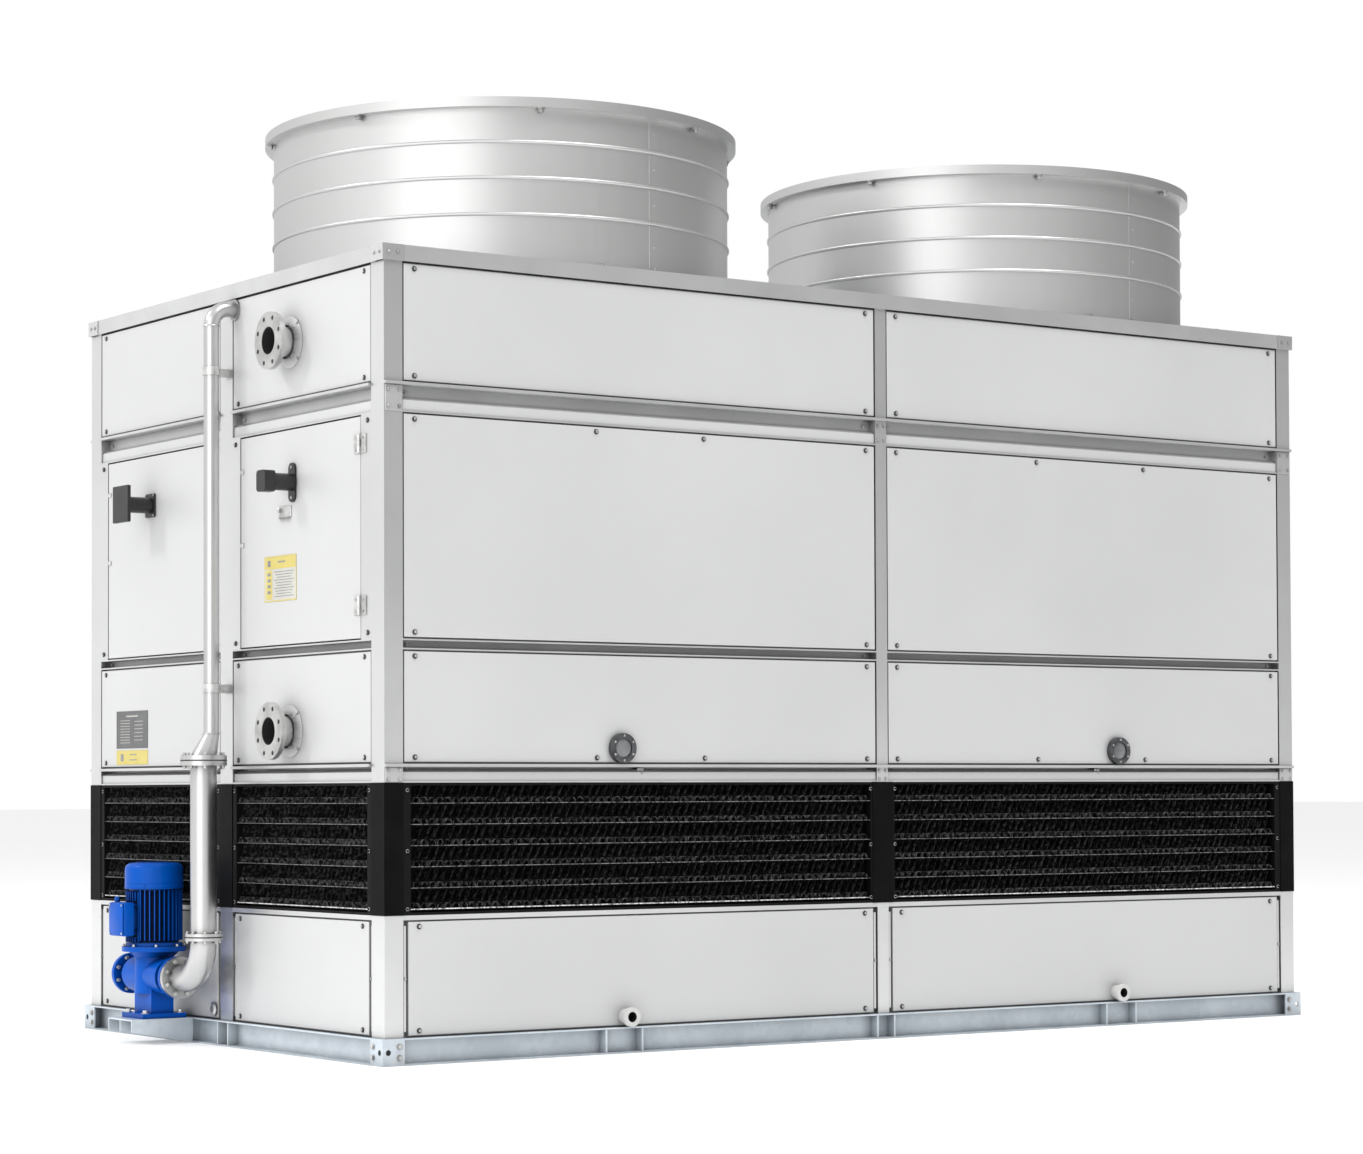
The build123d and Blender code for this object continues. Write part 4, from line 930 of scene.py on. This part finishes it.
bores, faces, collars, welds, spots = [], [], [], [], []
for z in connection_heights:
    bore = disc(bore_r - 0.0003, 0.070, sides=48)
    pick_faces(bore, lambda face: face.normal.z > 0.9)
    bpy.ops.mesh.inset(thickness=0.0015)
    push(0, 0, -0.060)
    bore = settle()
    bore.matrix_world = facing((connection_low.x + 0.072, connection_y, z), (-1, 0, 0))
    bores.append(bore)
    line = round_ring(bore_r + 0.006, 0.0012, sides=56)
    line.matrix_world = facing((connection_low.x + 0.0011, connection_y, z), (-1, 0, 0))
    faces.append(line)
    ring = disc(wall_plate_r, 0.004, sides=48, bevel=0.001)
    pick_faces(ring, lambda face: abs(face.normal.z) > 0.9)
    bpy.ops.mesh.inset(thickness=0.038)
    ring = settle()
    ring.matrix_world = facing(*wall_spot("left", connection_y, z))
    collars.append(ring)
    weld = round_ring(pipe_r + 0.001, 0.0045)
    weld.matrix_world = facing(*wall_spot("left", connection_y, z, 0.0065))
    welds.append(weld)
    for n in range(4):
        turn = math.radians(45 + 90 * n)
        across, up = wall_bolt_r * math.cos(turn), wall_bolt_r * math.sin(turn)
        spots.append(wall_spot("left", connection_y + across, z + up, 0.004))
mount(joined(bores), "coil_bore_shade_linings", coil_bore_shade)
mount(joined(faces), "flange_face_lines", hinge_steel)
mount(joined(collars), "connection_wall_plates", panel_sheet)
mount(joined(welds), "connection_welds", machined)
bolts("wall_plate_bolts", spots, 0.0050, 0.005, bolt_steel)

# ---- Sight ports ---------------------------------------------------------------------
# Round windows low on the front wall: a dark coated clamping ring with six bright screws
# over a thick grey glass.
port_steel = metal("port_steel", (0.060, 0.062, 0.066), (0.105, 0.108, 0.114), (0.32, 0.45), 0.60, 25.0)
coat(port_steel, "sight_ports")
port_low, port_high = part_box("sight_ports")
port_z = (port_low.z + port_high.z) / 2
port_proud, port_r, port_sunk, lens_r, port_screw_r = 0.022, 0.057, 0.014, 0.0366, 0.047
port_glass, tree, shader = plain_material("port_glass", (0.15, 0.155, 0.16), 0.12)
tree.links.new(tone_ramp(tree, noise_value(tree, 9.0), (0.11, 0.113, 0.117), (0.19, 0.195, 0.20)),
               shader.inputs["Base Color"])
shader.inputs["Coat Weight"].default_value = 0.3
lenses, spots = [], []
for x in (port_low.x + port_r, port_high.x - port_r):
    deselect()
    bpy.ops.mesh.primitive_uv_sphere_add(segments=40, ring_count=20, radius=lens_r)
    lens = settle()
    open_all()
    bpy.ops.mesh.bisect(plane_co=(0, 0, 0), plane_no=(0, 0, 1), clear_inner=True, use_fill=True)
    bpy.ops.mesh.select_all(action="SELECT")
    bpy.ops.transform.resize(value=(1, 1, 0.10), center_override=(0, 0, 0))
    lens = settle()
    bpy.ops.object.shade_smooth_by_angle(angle=math.radians(40))
    lens.matrix_world = facing(*wall_spot("front", x, port_z, port_sunk))
    lenses.append(lens)
    for n in range(6):
        turn = math.radians(60 * n + 30)
        across, up = port_screw_r * math.cos(turn), port_screw_r * math.sin(turn)
        spots.append(wall_spot("front", x + across, port_z + up, port_proud))
mount(joined(lenses), "sight_port_glass", port_glass)
bolts("sight_port_screws", spots, 0.0042, 0.004, bolt_steel, washer=1.2)

# ---- Roof ----------------------------------------------------------------------------
# Flat galvanized deck sheets with a fan hole each, inside a pale edge band. Angle caps
# bolted over the band close its corners.
coat(rail_sheet, "roof_band")
coat(post_sheet, "roof_corner_caps")
deck_zinc = galvanized("deck_zinc", (0.48, 0.50, 0.52), (0.62, 0.64, 0.66))
coat(deck_zinc, "roof_deck")
band_low, band_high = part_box("roof_band")
cap_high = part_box("roof_corner_caps")[1]
deck_low, deck_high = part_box("roof_deck")
band_middle = (band_low.z + band_high.z) / 2
spots = []
for sx in (-1, 1):
    for sy in (-1, 1):
        for inset in (0.026, 0.064):
            spots.append(((sx * (cap_high.x - inset), sy * cap_high.y, band_middle), (0, sy, 0)))
            spots.append(((sx * cap_high.x, sy * (cap_high.y - inset), band_middle), (sx, 0, 0)))
bolts("roof_cap_bolts", spots, 0.0050, 0.005, bolt_steel)
spots = []
deck_screw_in, deck_screw_pitch = 0.030, 0.350
along = int((deck_high.x - deck_low.x - 2 * deck_screw_in) / deck_screw_pitch)
for n in range(along + 1):
    x = deck_low.x + deck_screw_in + n * (deck_high.x - deck_low.x - 2 * deck_screw_in) / along
    for y in (deck_low.y + deck_screw_in, deck_high.y - deck_screw_in):
        spots.append(((x, y, deck_high.z), (0, 0, 1)))
across = int((deck_high.y - deck_low.y - 2 * deck_screw_in) / deck_screw_pitch)
for n in range(1, across):
    y = deck_low.y + deck_screw_in + n * (deck_high.y - deck_low.y - 2 * deck_screw_in) / across
    for x in (deck_low.x + deck_screw_in, deck_high.x - deck_screw_in):
        spots.append(((x, y, deck_high.z), (0, 0, 1)))
sealed_screws("roof_deck_screws", spots)

# ---- Fan stacks ----------------------------------------------------------------------
# Rolled bright sheet cylinders with pressed beads, bolted to the deck by a foot flange.
# The square rim is bolted from below and a lapped joint closes each shell.
stack_sheet, tree, shader = plain_material("stack_sheet", (0.62, 0.62, 0.61), 0.32, 0.92)
stack_tone = tone_ramp(tree, noise_value(tree, 1.1, 2.0), (0.53, 0.53, 0.527), (0.57, 0.57, 0.567), 0.3, 0.7)
tree.links.new(stack_tone, shader.inputs["Base Color"])
stack_gloss = spread(tree, noise_value(tree, 60.0, 3.0, (1, 1, 0.08)), 0.38, 0.45)
tree.links.new(stack_gloss, shader.inputs["Roughness"])
fine_relief(tree, shader, noise_value(tree, 500.0, 2.0, (1, 1, 0.05)), 0.04, 0.0004)
coat(stack_sheet, "fan_stack_left", "fan_stack_right")
stack_boxes = [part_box("fan_stack_left"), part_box("fan_stack_right")]
rim_under, shell_r, rim_bolt_r, foot_bolt_r, foot_flange_t = 3.595, 0.920, 0.9375, 0.936, 0.006
bead_gaps = ((0.012, 0.180), (0.200, 0.320), (0.340, 0.457), (0.477, 0.590))
for key, (low, high) in zip(("left", "right"), stack_boxes):
    centre = ((low.x + high.x) / 2, (low.y + high.y) / 2)
    spots = []
    for n in range(8):
        turn = math.radians(22.5 + 45 * n)
        x, y = centre[0] + rim_bolt_r * math.cos(turn), centre[1] + rim_bolt_r * math.sin(turn)
        spots.append(((x, y, rim_under), (0, 0, -1)))
    bolts(f"{key}_stack_rim_bolts", spots, 0.0110, 0.016, bolt_steel)
    spots = []
    for n in range(24):
        turn = math.radians(7.5 + 15 * n)
        x, y = centre[0] + foot_bolt_r * math.cos(turn), centre[1] + foot_bolt_r * math.sin(turn)
        spots.append(((x, y, deck_high.z + foot_flange_t), (0, 0, 1)))
    bolts(f"{key}_stack_foot_bolts", spots, 0.0065, 0.008, bolt_steel)
    laps, spots = [], []
    for turn in (math.radians(-82), math.radians(98)):
        radial = Vector((math.cos(turn), math.sin(turn), 0))
        foot = Vector((*centre, deck_high.z)) + radial * shell_r
        for z0, z1 in bead_gaps:
            lap = bar((0.050, z1 - z0, 0.003), (0, 0, 0.0013), 0.0008)
            lap.matrix_world = facing(foot + Vector((0, 0, (z0 + z1) / 2)), radial)
            laps.append(lap)
            spots.append((foot + radial * 0.0025 + Vector((0, 0, (z0 + z1) / 2)), radial))
    mount(joined(laps), f"{key}_stack_lap_joint", stack_sheet)
    bolts(f"{key}_stack_lap_rivets", spots, 0.0035, 0.003, stack_sheet, washer=1.1)

# ---- Fans ----------------------------------------------------------------------------
# Six-blade axial rotors in cast aluminium on upright motors, carried by two beams across
# each stack. The blades widen and flatten towards their tips.
fan_alloy = metal("fan_alloy", (0.34, 0.345, 0.35), (0.52, 0.525, 0.53), (0.32, 0.50), 0.7, 3.0, 260.0, 0.10)
motor_grey = metal("fan_motor_grey", (0.13, 0.145, 0.155), (0.19, 0.205, 0.215), (0.38, 0.52), 0.1,
                   5.0, 350.0)
coat(motor_grey, "fan_motors")
coat(zinc, "fan_supports")
rotor_mid, hub_bolt_r = 3.335, 0.105
hub_r, hub_tall, tip_r, blade_count = 0.150, 0.130, 0.900, 6
motor_r, motor_foot, motor_top = 0.165, 3.092, 3.255


def fan_blade():
    """A blade drawn out from its root section, turning and thinning to the tip."""
    root = hub_r - 0.020
    blade = bar((0.040, 0.130, 0.016), (root, 0, 0))
    twist = math.radians(34)
    bpy.context.object.rotation_euler = (twist, 0, 0)
    settle()
    pick_faces(blade, lambda face: face.normal.x > 0.9)
    steps, reach = 6, tip_r - 0.004 - root - 0.020
    for n in range(steps):
        push(reach / steps, 0.004, 0)
        here = root + 0.020 + (n + 1) * reach / steps
        bpy.ops.transform.rotate(value=math.radians(3.2), orient_axis="X", center_override=(here, 0, 0))
        bpy.ops.transform.resize(value=(1.0, 1.10 if n < 3 else 1.03, 0.94), center_override=(here, 0, 0))
    blade = settle()
    smooth = blade.modifiers.new("round", "BEVEL")
    smooth.width = 0.004
    smooth.segments = 2
    bpy.ops.object.modifier_apply(modifier=smooth.name)
    return blade


for key, (low, high) in zip(("left", "right"), stack_boxes):
    centre = Vector(((low.x + high.x) / 2, (low.y + high.y) / 2, rotor_mid))
    blades = copies(fan_blade(), [Matrix.Rotation(math.radians(60 * n), 4, "Z") for n in range(blade_count)])
    settle()
    hub = disc(hub_r, hub_tall, (0, 0, -hub_tall / 2), sides=48, bevel=0.010)
    pick_faces(hub, lambda face: face.normal.z > 0.99 and abs(face.center.z) > 0.05)
    bpy.ops.mesh.inset(thickness=0.045, depth=-0.012)
    bpy.ops.mesh.inset(thickness=0.030)
    push(0, 0, 0.030)
    bpy.ops.mesh.inset(thickness=0.008, depth=0.004)
    hub = settle()
    rotor = joined([blades, hub])
    bpy.ops.object.shade_smooth_by_angle(angle=math.radians(35))
    rotor.matrix_world = Matrix.Translation(centre)
    mount(rotor, f"{key}_fan_rotor", fan_alloy)
    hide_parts("fan_rotors")
    clamps = []
    for n in range(blade_count):
        turn = math.radians(60 * n)
        arm = Vector((hub_bolt_r * math.cos(turn), hub_bolt_r * math.sin(turn), hub_tall / 2 - 0.012))
        clamps.append((centre + arm, (0, 0, 1)))
    bolts(f"{key}_fan_hub_bolts", clamps, 0.009, 0.010, bolt_steel)
    fin = bar((0.022, 0.004, motor_top - motor_foot - 0.050), (motor_r + 0.006, 0, 0), 0.001)
    turns = [Matrix.Translation((centre.x, centre.y, (motor_foot + motor_top) / 2))
             @ Matrix.Rotation(math.radians(11.25 * n), 4, "Z") for n in range(32)]
    mount(copies(fin, turns), f"{key}_fan_motor_fins", motor_grey)

# ---- Spray pump ----------------------------------------------------------------------
# An in-line pump on the base bracket: enamelled cast body, finned motor with its terminal
# box and fan cowl on top. Flanges and foot are bolted; thin gaskets show at the joints.
pump_blue, tree, shader = plain_material("pump_blue", (0.002, 0.055, 0.36), 0.25)
tree.links.new(tone_ramp(tree, noise_value(tree, 5.0), (0.0, 0.076, 0.42), (0.0, 0.090, 0.49)),
               shader.inputs["Base Color"])
tree.links.new(spread(tree, noise_value(tree, 30.0), 0.29, 0.36), shader.inputs["Roughness"])
shader.inputs["Coat Weight"].default_value = 0.05
shader.inputs["Specular IOR Level"].default_value = 0.10
shader.inputs["Coat Roughness"].default_value = 0.12
fine_relief(tree, shader, noise_value(tree, 60.0), 0.02, 0.0004)
# Painted shade: the blue is darkened in recesses and where parts meet.
paint_recess_shade(tree, shader, 0.060, 0.16)
coat(pump_blue, "pump_casing", "pump_motor", "motor_fan_cover")
coat(zinc, "pump_skid")
cowl_low, cowl_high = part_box("motor_fan_cover")
pump_x, pump_y = (cowl_low.x + cowl_high.x) / 2, (cowl_low.y + cowl_high.y) / 2
casing_low, casing_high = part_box("pump_casing")
pump_axis_z, foot_top, foot_bolt_in = 0.268, 0.120, 0.076
flange_bolt_r, adapter_bolt_r, adapter_top = 0.067, 0.1200, casing_high.z


def ring_spots(centre, axis, radius, count, start=0.0):
    """Bolt spots on a circle about an axis, facing along it."""
    axis = Vector(axis)
    across = Vector((0, 0, 1)) if abs(axis.z) < 0.5 else Vector((1, 0, 0))
    other = axis.cross(across)
    turns = [math.radians(start + 360 * n / count) for n in range(count)]
    return [(Vector(centre) + (across * math.cos(t) + other * math.sin(t)) * radius, axis) for t in turns]


spots = [((pump_x + sx * foot_bolt_in, pump_y + sy * foot_bolt_in, foot_top), (0, 0, 1))
         for sx in (-1, 1) for sy in (-1, 1)]
bolts("pump_foot_bolts", spots, 0.0095, 0.013, hinge_steel, washer=1.6)
near_face, far_face = casing_low.y, casing_high.y
spots = ring_spots((pump_x, near_face - 0.020, pump_axis_z), (0, -1, 0), flange_bolt_r, 8, 22.5)
spots += ring_spots((pump_x, near_face + 0.020, pump_axis_z), (0, 1, 0), flange_bolt_r, 8, 22.5)
spots += ring_spots((pump_x, far_face, pump_axis_z), (0, 1, 0), flange_bolt_r, 8, 22.5)
spots += ring_spots((pump_x, far_face - 0.020, pump_axis_z), (0, -1, 0), flange_bolt_r, 8, 22.5)
bolts("pump_flange_bolts", spots, 0.0075, 0.010, hinge_steel, washer=1.2)
spots = ring_spots((pump_x, pump_y, adapter_top), (0, 0, 1), adapter_bolt_r, 8, 22.5)
bolts("motor_adapter_bolts", spots, 0.0055, 0.009, hinge_steel, washer=1.15)

gasket_rubber = metal("gasket_rubber", (0.015, 0.015, 0.016), (0.03, 0.03, 0.031), (0.6, 0.8), 0.0, 20.0)
gasket = disc(0.0824, 0.0040, sides=48, bevel=0.0003)
mount(copies(gasket, [facing((pump_x, near_face + 0.0020, pump_axis_z), (0, -1, 0))]),
      "pump_flange_gasket", gasket_rubber)

# The cowl's rolled edges and the pressed rings of its cap.
lips = []
cowl_r = 0.1155
for z in (cowl_low.z + 0.004, cowl_low.z + 0.022):
    lips.append(round_ring(cowl_r, 0.0022, (pump_x, pump_y, z), 64))
cap = disc(0.074, 0.004, (pump_x, pump_y, cowl_high.z - 0.0015), sides=40, bevel=0.001)
pick_faces(cap, lambda face: face.normal.z > 0.99)
for thickness, depth in ((0.008, 0.0), (0.001, -0.003), (0.008, 0.0), (0.001, 0.003), (0.010, 0.0),
                         (0.001, -0.003), (0.008, 0.0), (0.001, 0.003), (0.010, 0.0), (0.001, -0.003)):
    bpy.ops.mesh.inset(thickness=thickness, depth=depth)
lips.append(settle())
cowl_trim = joined(lips)
bpy.ops.object.shade_smooth_by_angle(angle=math.radians(40))
mount(cowl_trim, "motor_cowl_trim", pump_blue)
spots = [(Vector((pump_x, pump_y, cowl_low.z + 0.013)) + Vector((math.cos(t), math.sin(t), 0)) * 0.1158,
          (math.cos(t), math.sin(t), 0)) for t in (math.radians(45 + 90 * n) for n in range(4))]
bolts("motor_cowl_screws", spots, 0.0036, 0.003, pump_blue, washer=1.2)

# The bottoms of the grooves between the cooling fins, coloured near-black: painted shade for the shadow
# between the fins.
groove = disc(0.0992, 0.205, (pump_x, pump_y, 0.4025), sides=72, bevel=0.001)
bpy.ops.object.shade_smooth_by_angle(angle=math.radians(40))
fin_groove_shade = metal("fin_groove_shade", (0.001, 0.004, 0.022), (0.001, 0.007, 0.040), (0.6, 0.8), 0.0, 20.0)
fin_groove_shade.node_tree.nodes["Principled BSDF"].inputs["Specular IOR Level"].default_value = 0.1
mount(groove, "motor_fin_groove_shade", fin_groove_shade)

# Short fins above and below the terminal box, and one full fin on each side of it.
fin_foot, fin_top, below_box, above_box = 0.4025, 0.6035, 0.424, 0.566
fins = []
for n in range(-4, 5):
    turn = math.radians(180 + 7.5 * n)
    spans = ((fin_foot, fin_top),) if abs(n) == 4 else ((fin_foot, below_box), (above_box, fin_top))
    for foot, top in spans:
        fin = bar((0.014, 0.004, top - foot), (0.106, 0, (foot + top) / 2), 0.0008)
        fin.matrix_world = Matrix.Translation((pump_x, pump_y, 0)) @ Matrix.Rotation(turn, 4, "Z")
        fins.append(fin)
mount(joined(fins), "motor_box_fins", pump_blue)

box_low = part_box("terminal_box")[0]
box_foot, box_top, lid_thick = 0.428, 0.562, 0.006
box_face = box_low.x + 0.003
shell_deep = 0.052
box_mid = (box_foot + box_top) / 2
shell = bar((shell_deep - lid_thick, 0.130, box_top - box_foot),
            (box_face + lid_thick + (shell_deep - lid_thick) / 2, pump_y, box_mid), 0.006, 3)
pick_faces(shell, lambda face: face.normal.x > 0.9)
bpy.ops.mesh.inset(thickness=0.018)
push(0.020, 0, 0)
shell = settle()
lid_centre = (box_face + lid_thick / 2 - 0.0005, pump_y, box_mid)
lid = bar((lid_thick - 0.001, 0.124, box_top - box_foot - 0.006), lid_centre, 0.0018, 2)
gland_foot = (box_low.x + 0.029, pump_y + 0.039, box_top - 0.001)
gland = disc(0.011, 0.022, gland_foot, sides=6, bevel=0.001)
pick_faces(gland, lambda face: face.normal.z > 0.99)
bpy.ops.mesh.inset(thickness=0.003, depth=-0.004)
gland = settle()
terminal = joined([shell, lid, gland])
bpy.ops.object.shade_smooth_by_angle(angle=math.radians(40))
mount(terminal, "terminal_box_shell", pump_blue)
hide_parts("terminal_box")
spots = [((box_face, pump_y + sy * 0.054, box_mid + sz * 0.056), (-1, 0, 0))
         for sy in (-1, 1) for sz in (-1, 1)]
slotted_screws("terminal_box_screws", spots, 0.0045, 0.0025, hinge_steel)

# ---- Riser ---------------------------------------------------------------------------
# Brushed stainless pipe from the pump's bend up to the spray main: flanged joints, an
# eccentric reducer, two clamps on the middle post and a collar where it enters the wall.
# Painted shade darkens the pipe steel where flanges, clamps and the wall close it in.
pipe_steel = metal("pipe_steel", (0.52, 0.52, 0.517), (0.57, 0.57, 0.567), (0.29, 0.33), 0.95,
                   1.2, 420.0, 0.003, (1.0, 1.0, 0.12), (0.090, 0.20))
coat(pipe_steel, "discharge_elbow", "riser_lower", "riser_reducer", "riser_upper")
coat(hinge_steel, "pipe_clamps")
lower_low, lower_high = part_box("riser_lower")
riser_x, riser_y = (lower_low.x + lower_high.x) / 2, (lower_low.y + lower_high.y) / 2
pair_joint_z, pair_flange_t, pair_bolt_r = lower_low.z, 0.014, 0.0625
top_joint_z, top_flange_t, top_bolt_r = lower_high.z, 0.020, 0.0740
spots = ring_spots((riser_x, riser_y, pair_joint_z + pair_flange_t), (0, 0, 1), pair_bolt_r, 8, 22.5)
spots += ring_spots((riser_x, riser_y, pair_joint_z - pair_flange_t), (0, 0, -1), pair_bolt_r, 8, 22.5)
bolts("riser_pair_bolts", spots, 0.0055, 0.009, hinge_steel, washer=1.2)
spots = ring_spots((riser_x, riser_y, top_joint_z + top_flange_t), (0, 0, 1), top_bolt_r, 8, 22.5)
spots += ring_spots((riser_x, riser_y, top_joint_z - top_flange_t), (0, 0, -1), top_bolt_r, 8, 22.5)
bolts("riser_top_bolts", spots, 0.0075, 0.011, hinge_steel, washer=1.25)
gaskets = [disc(radius, 0.0050, (riser_x, riser_y, z - 0.0025), sides=48, bevel=0.0003)
           for radius, z in ((0.0734, pair_joint_z), (0.0904, top_joint_z))]
mount(joined(gaskets), "riser_gaskets", gasket_rubber)
lower_r, upper_r = 0.052, 0.0305
upper_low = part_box("riser_upper")[0]
upper_x = upper_low.x + upper_r
top_bend_z, clamp_bolt_out, clamp_bolt_y = 2.825, 0.05, 0.0425
rings = [(lower_r, riser_x, pair_joint_z + pair_flange_t),
         (lower_r, riser_x, top_joint_z - top_flange_t),
         (lower_r, riser_x, top_joint_z + top_flange_t),
         (upper_r, upper_x, upper_low.z),
         (upper_r, upper_x, top_bend_z)]
welds = []
for radius, x, z in rings:
    welds.append(round_ring(radius + 0.0005, 0.0028, (x, riser_y, z)))
mount(joined(welds), "riser_welds", pipe_steel)
spots = []
for z in (1.404, 2.647):
    spots += [wall_spot("left", riser_y + 0.061, z, 0.005),
              ((upper_x, riser_y + clamp_bolt_y, z), (0, 1, 0)),
              ((upper_x + clamp_bolt_out, riser_y + clamp_bolt_y, z), (0, 1, 0))]
bolts("pipe_clamp_bolts", spots, 0.0055, 0.007, hinge_steel, washer=1.2)
spots = ring_spots((wall_low.x - 0.006, riser_y, 2.895), (-1, 0, 0), 0.0365, 4, 45)
bolts("riser_collar_screws", spots, 0.0032, 0.003, hinge_steel, washer=1.1)

# ---- Floor, light and camera ---------------------------------------------------------
# A pale level floor under soft studio light: a strong lamp beyond the pump end, a broad
# weak one beside it, a high one over the front wall and a white surround.
deselect()
bpy.ops.mesh.primitive_plane_add(size=400.0, location=(0, 0, 0))
floor = bpy.context.object
floor.name = "studio_floor"
floor_pale, tree, shader = plain_material("studio_floor", (0.88, 0.88, 0.88), 0.7)
tree.links.new(tone_ramp(tree, noise_value(tree, 0.3), (0.87, 0.87, 0.87), (0.89, 0.89, 0.89)),
               shader.inputs["Base Color"])
shader.inputs["Emission Color"].default_value = (1.0, 1.0, 1.0, 1.0)
shader.inputs["Emission Strength"].default_value = 0.22
floor.data.materials.append(floor_pale)

world = bpy.data.worlds.new("studio_white")
world.use_nodes = True
sky = world.node_tree
sky.nodes["Background"].inputs["Color"].default_value = (1.0, 1.0, 1.0, 1.0)
direction = sky.nodes.new("ShaderNodeTexCoord")
facing_bright = sky.nodes.new("ShaderNodeVectorMath")
facing_bright.operation = "DOT_PRODUCT"
facing_bright.inputs[1].default_value = (-0.82, 0.30, 0.48)
surround = sky.nodes.new("ShaderNodeMapRange")
surround.inputs["From Min"].default_value = -0.65
surround.inputs["From Max"].default_value = 0.75
surround.inputs["To Min"].default_value = 0.28
surround.inputs["To Max"].default_value = 1.0
sky.links.new(direction.outputs["Generated"], facing_bright.inputs[0])
sky.links.new(facing_bright.outputs["Value"], surround.inputs["Value"])
seen = sky.nodes.new("ShaderNodeLightPath")
backdrop = sky.nodes.new("ShaderNodeMix")
backdrop.inputs["B"].default_value = 1.0
sky.links.new(seen.outputs["Is Camera Ray"], backdrop.inputs["Factor"])
sky.links.new(surround.outputs["Result"], backdrop.inputs["A"])
sky.links.new(backdrop.outputs["Result"], sky.nodes["Background"].inputs["Strength"])
bpy.context.scene.world = world
bpy.context.scene.view_settings.view_transform = "Standard"


def soft_lamp(name, place, target, size, power):
    """A square area lamp aimed at a point."""
    lamp = bpy.data.lights.new(name, "AREA")
    lamp.energy = power
    lamp.size = size
    holder = bpy.data.objects.new(name, lamp)
    bpy.context.collection.objects.link(holder)
    aim = Vector(target) - Vector(place)
    holder.matrix_world = Matrix.Translation(place) @ aim.to_track_quat("-Z", "Y").to_matrix().to_4x4()


middle = Vector((0, 0, 1.6))
soft_lamp("end_lamp", (-18.0, 8.0, 17.0), middle, 4.0, 1700)
soft_lamp("fill_lamp", (-13.0, -6.5, 5.0), middle, 11.0, 520)
soft_lamp("front_lamp", (1.0, -10.0, 19.0), middle, 8.0, 2300)

camera_data = bpy.data.cameras.new("camera")
camera_data.sensor_width = 36.0
camera_data.lens = 88.49
camera_data.shift_y = 0.0938
camera = bpy.data.objects.new("camera", camera_data)
bpy.context.collection.objects.link(camera)
eye = Vector((-8.362, -11.872, 0.990))
yaw, pitch, roll = math.radians(34.784), math.radians(1.5), math.radians(-0.2104)
ahead = Vector((math.sin(yaw) * math.cos(pitch), math.cos(yaw) * math.cos(pitch), math.sin(pitch)))
right = Vector((math.cos(yaw), -math.sin(yaw), 0))
above = right.cross(ahead)
rolled_right = right * math.cos(roll) + above * math.sin(roll)
rolled_above = above * math.cos(roll) - right * math.sin(roll)
axes = Matrix((rolled_right, rolled_above, -ahead)).transposed().to_4x4()
camera.matrix_world = Matrix.Translation(eye) @ axes
bpy.context.scene.camera = camera
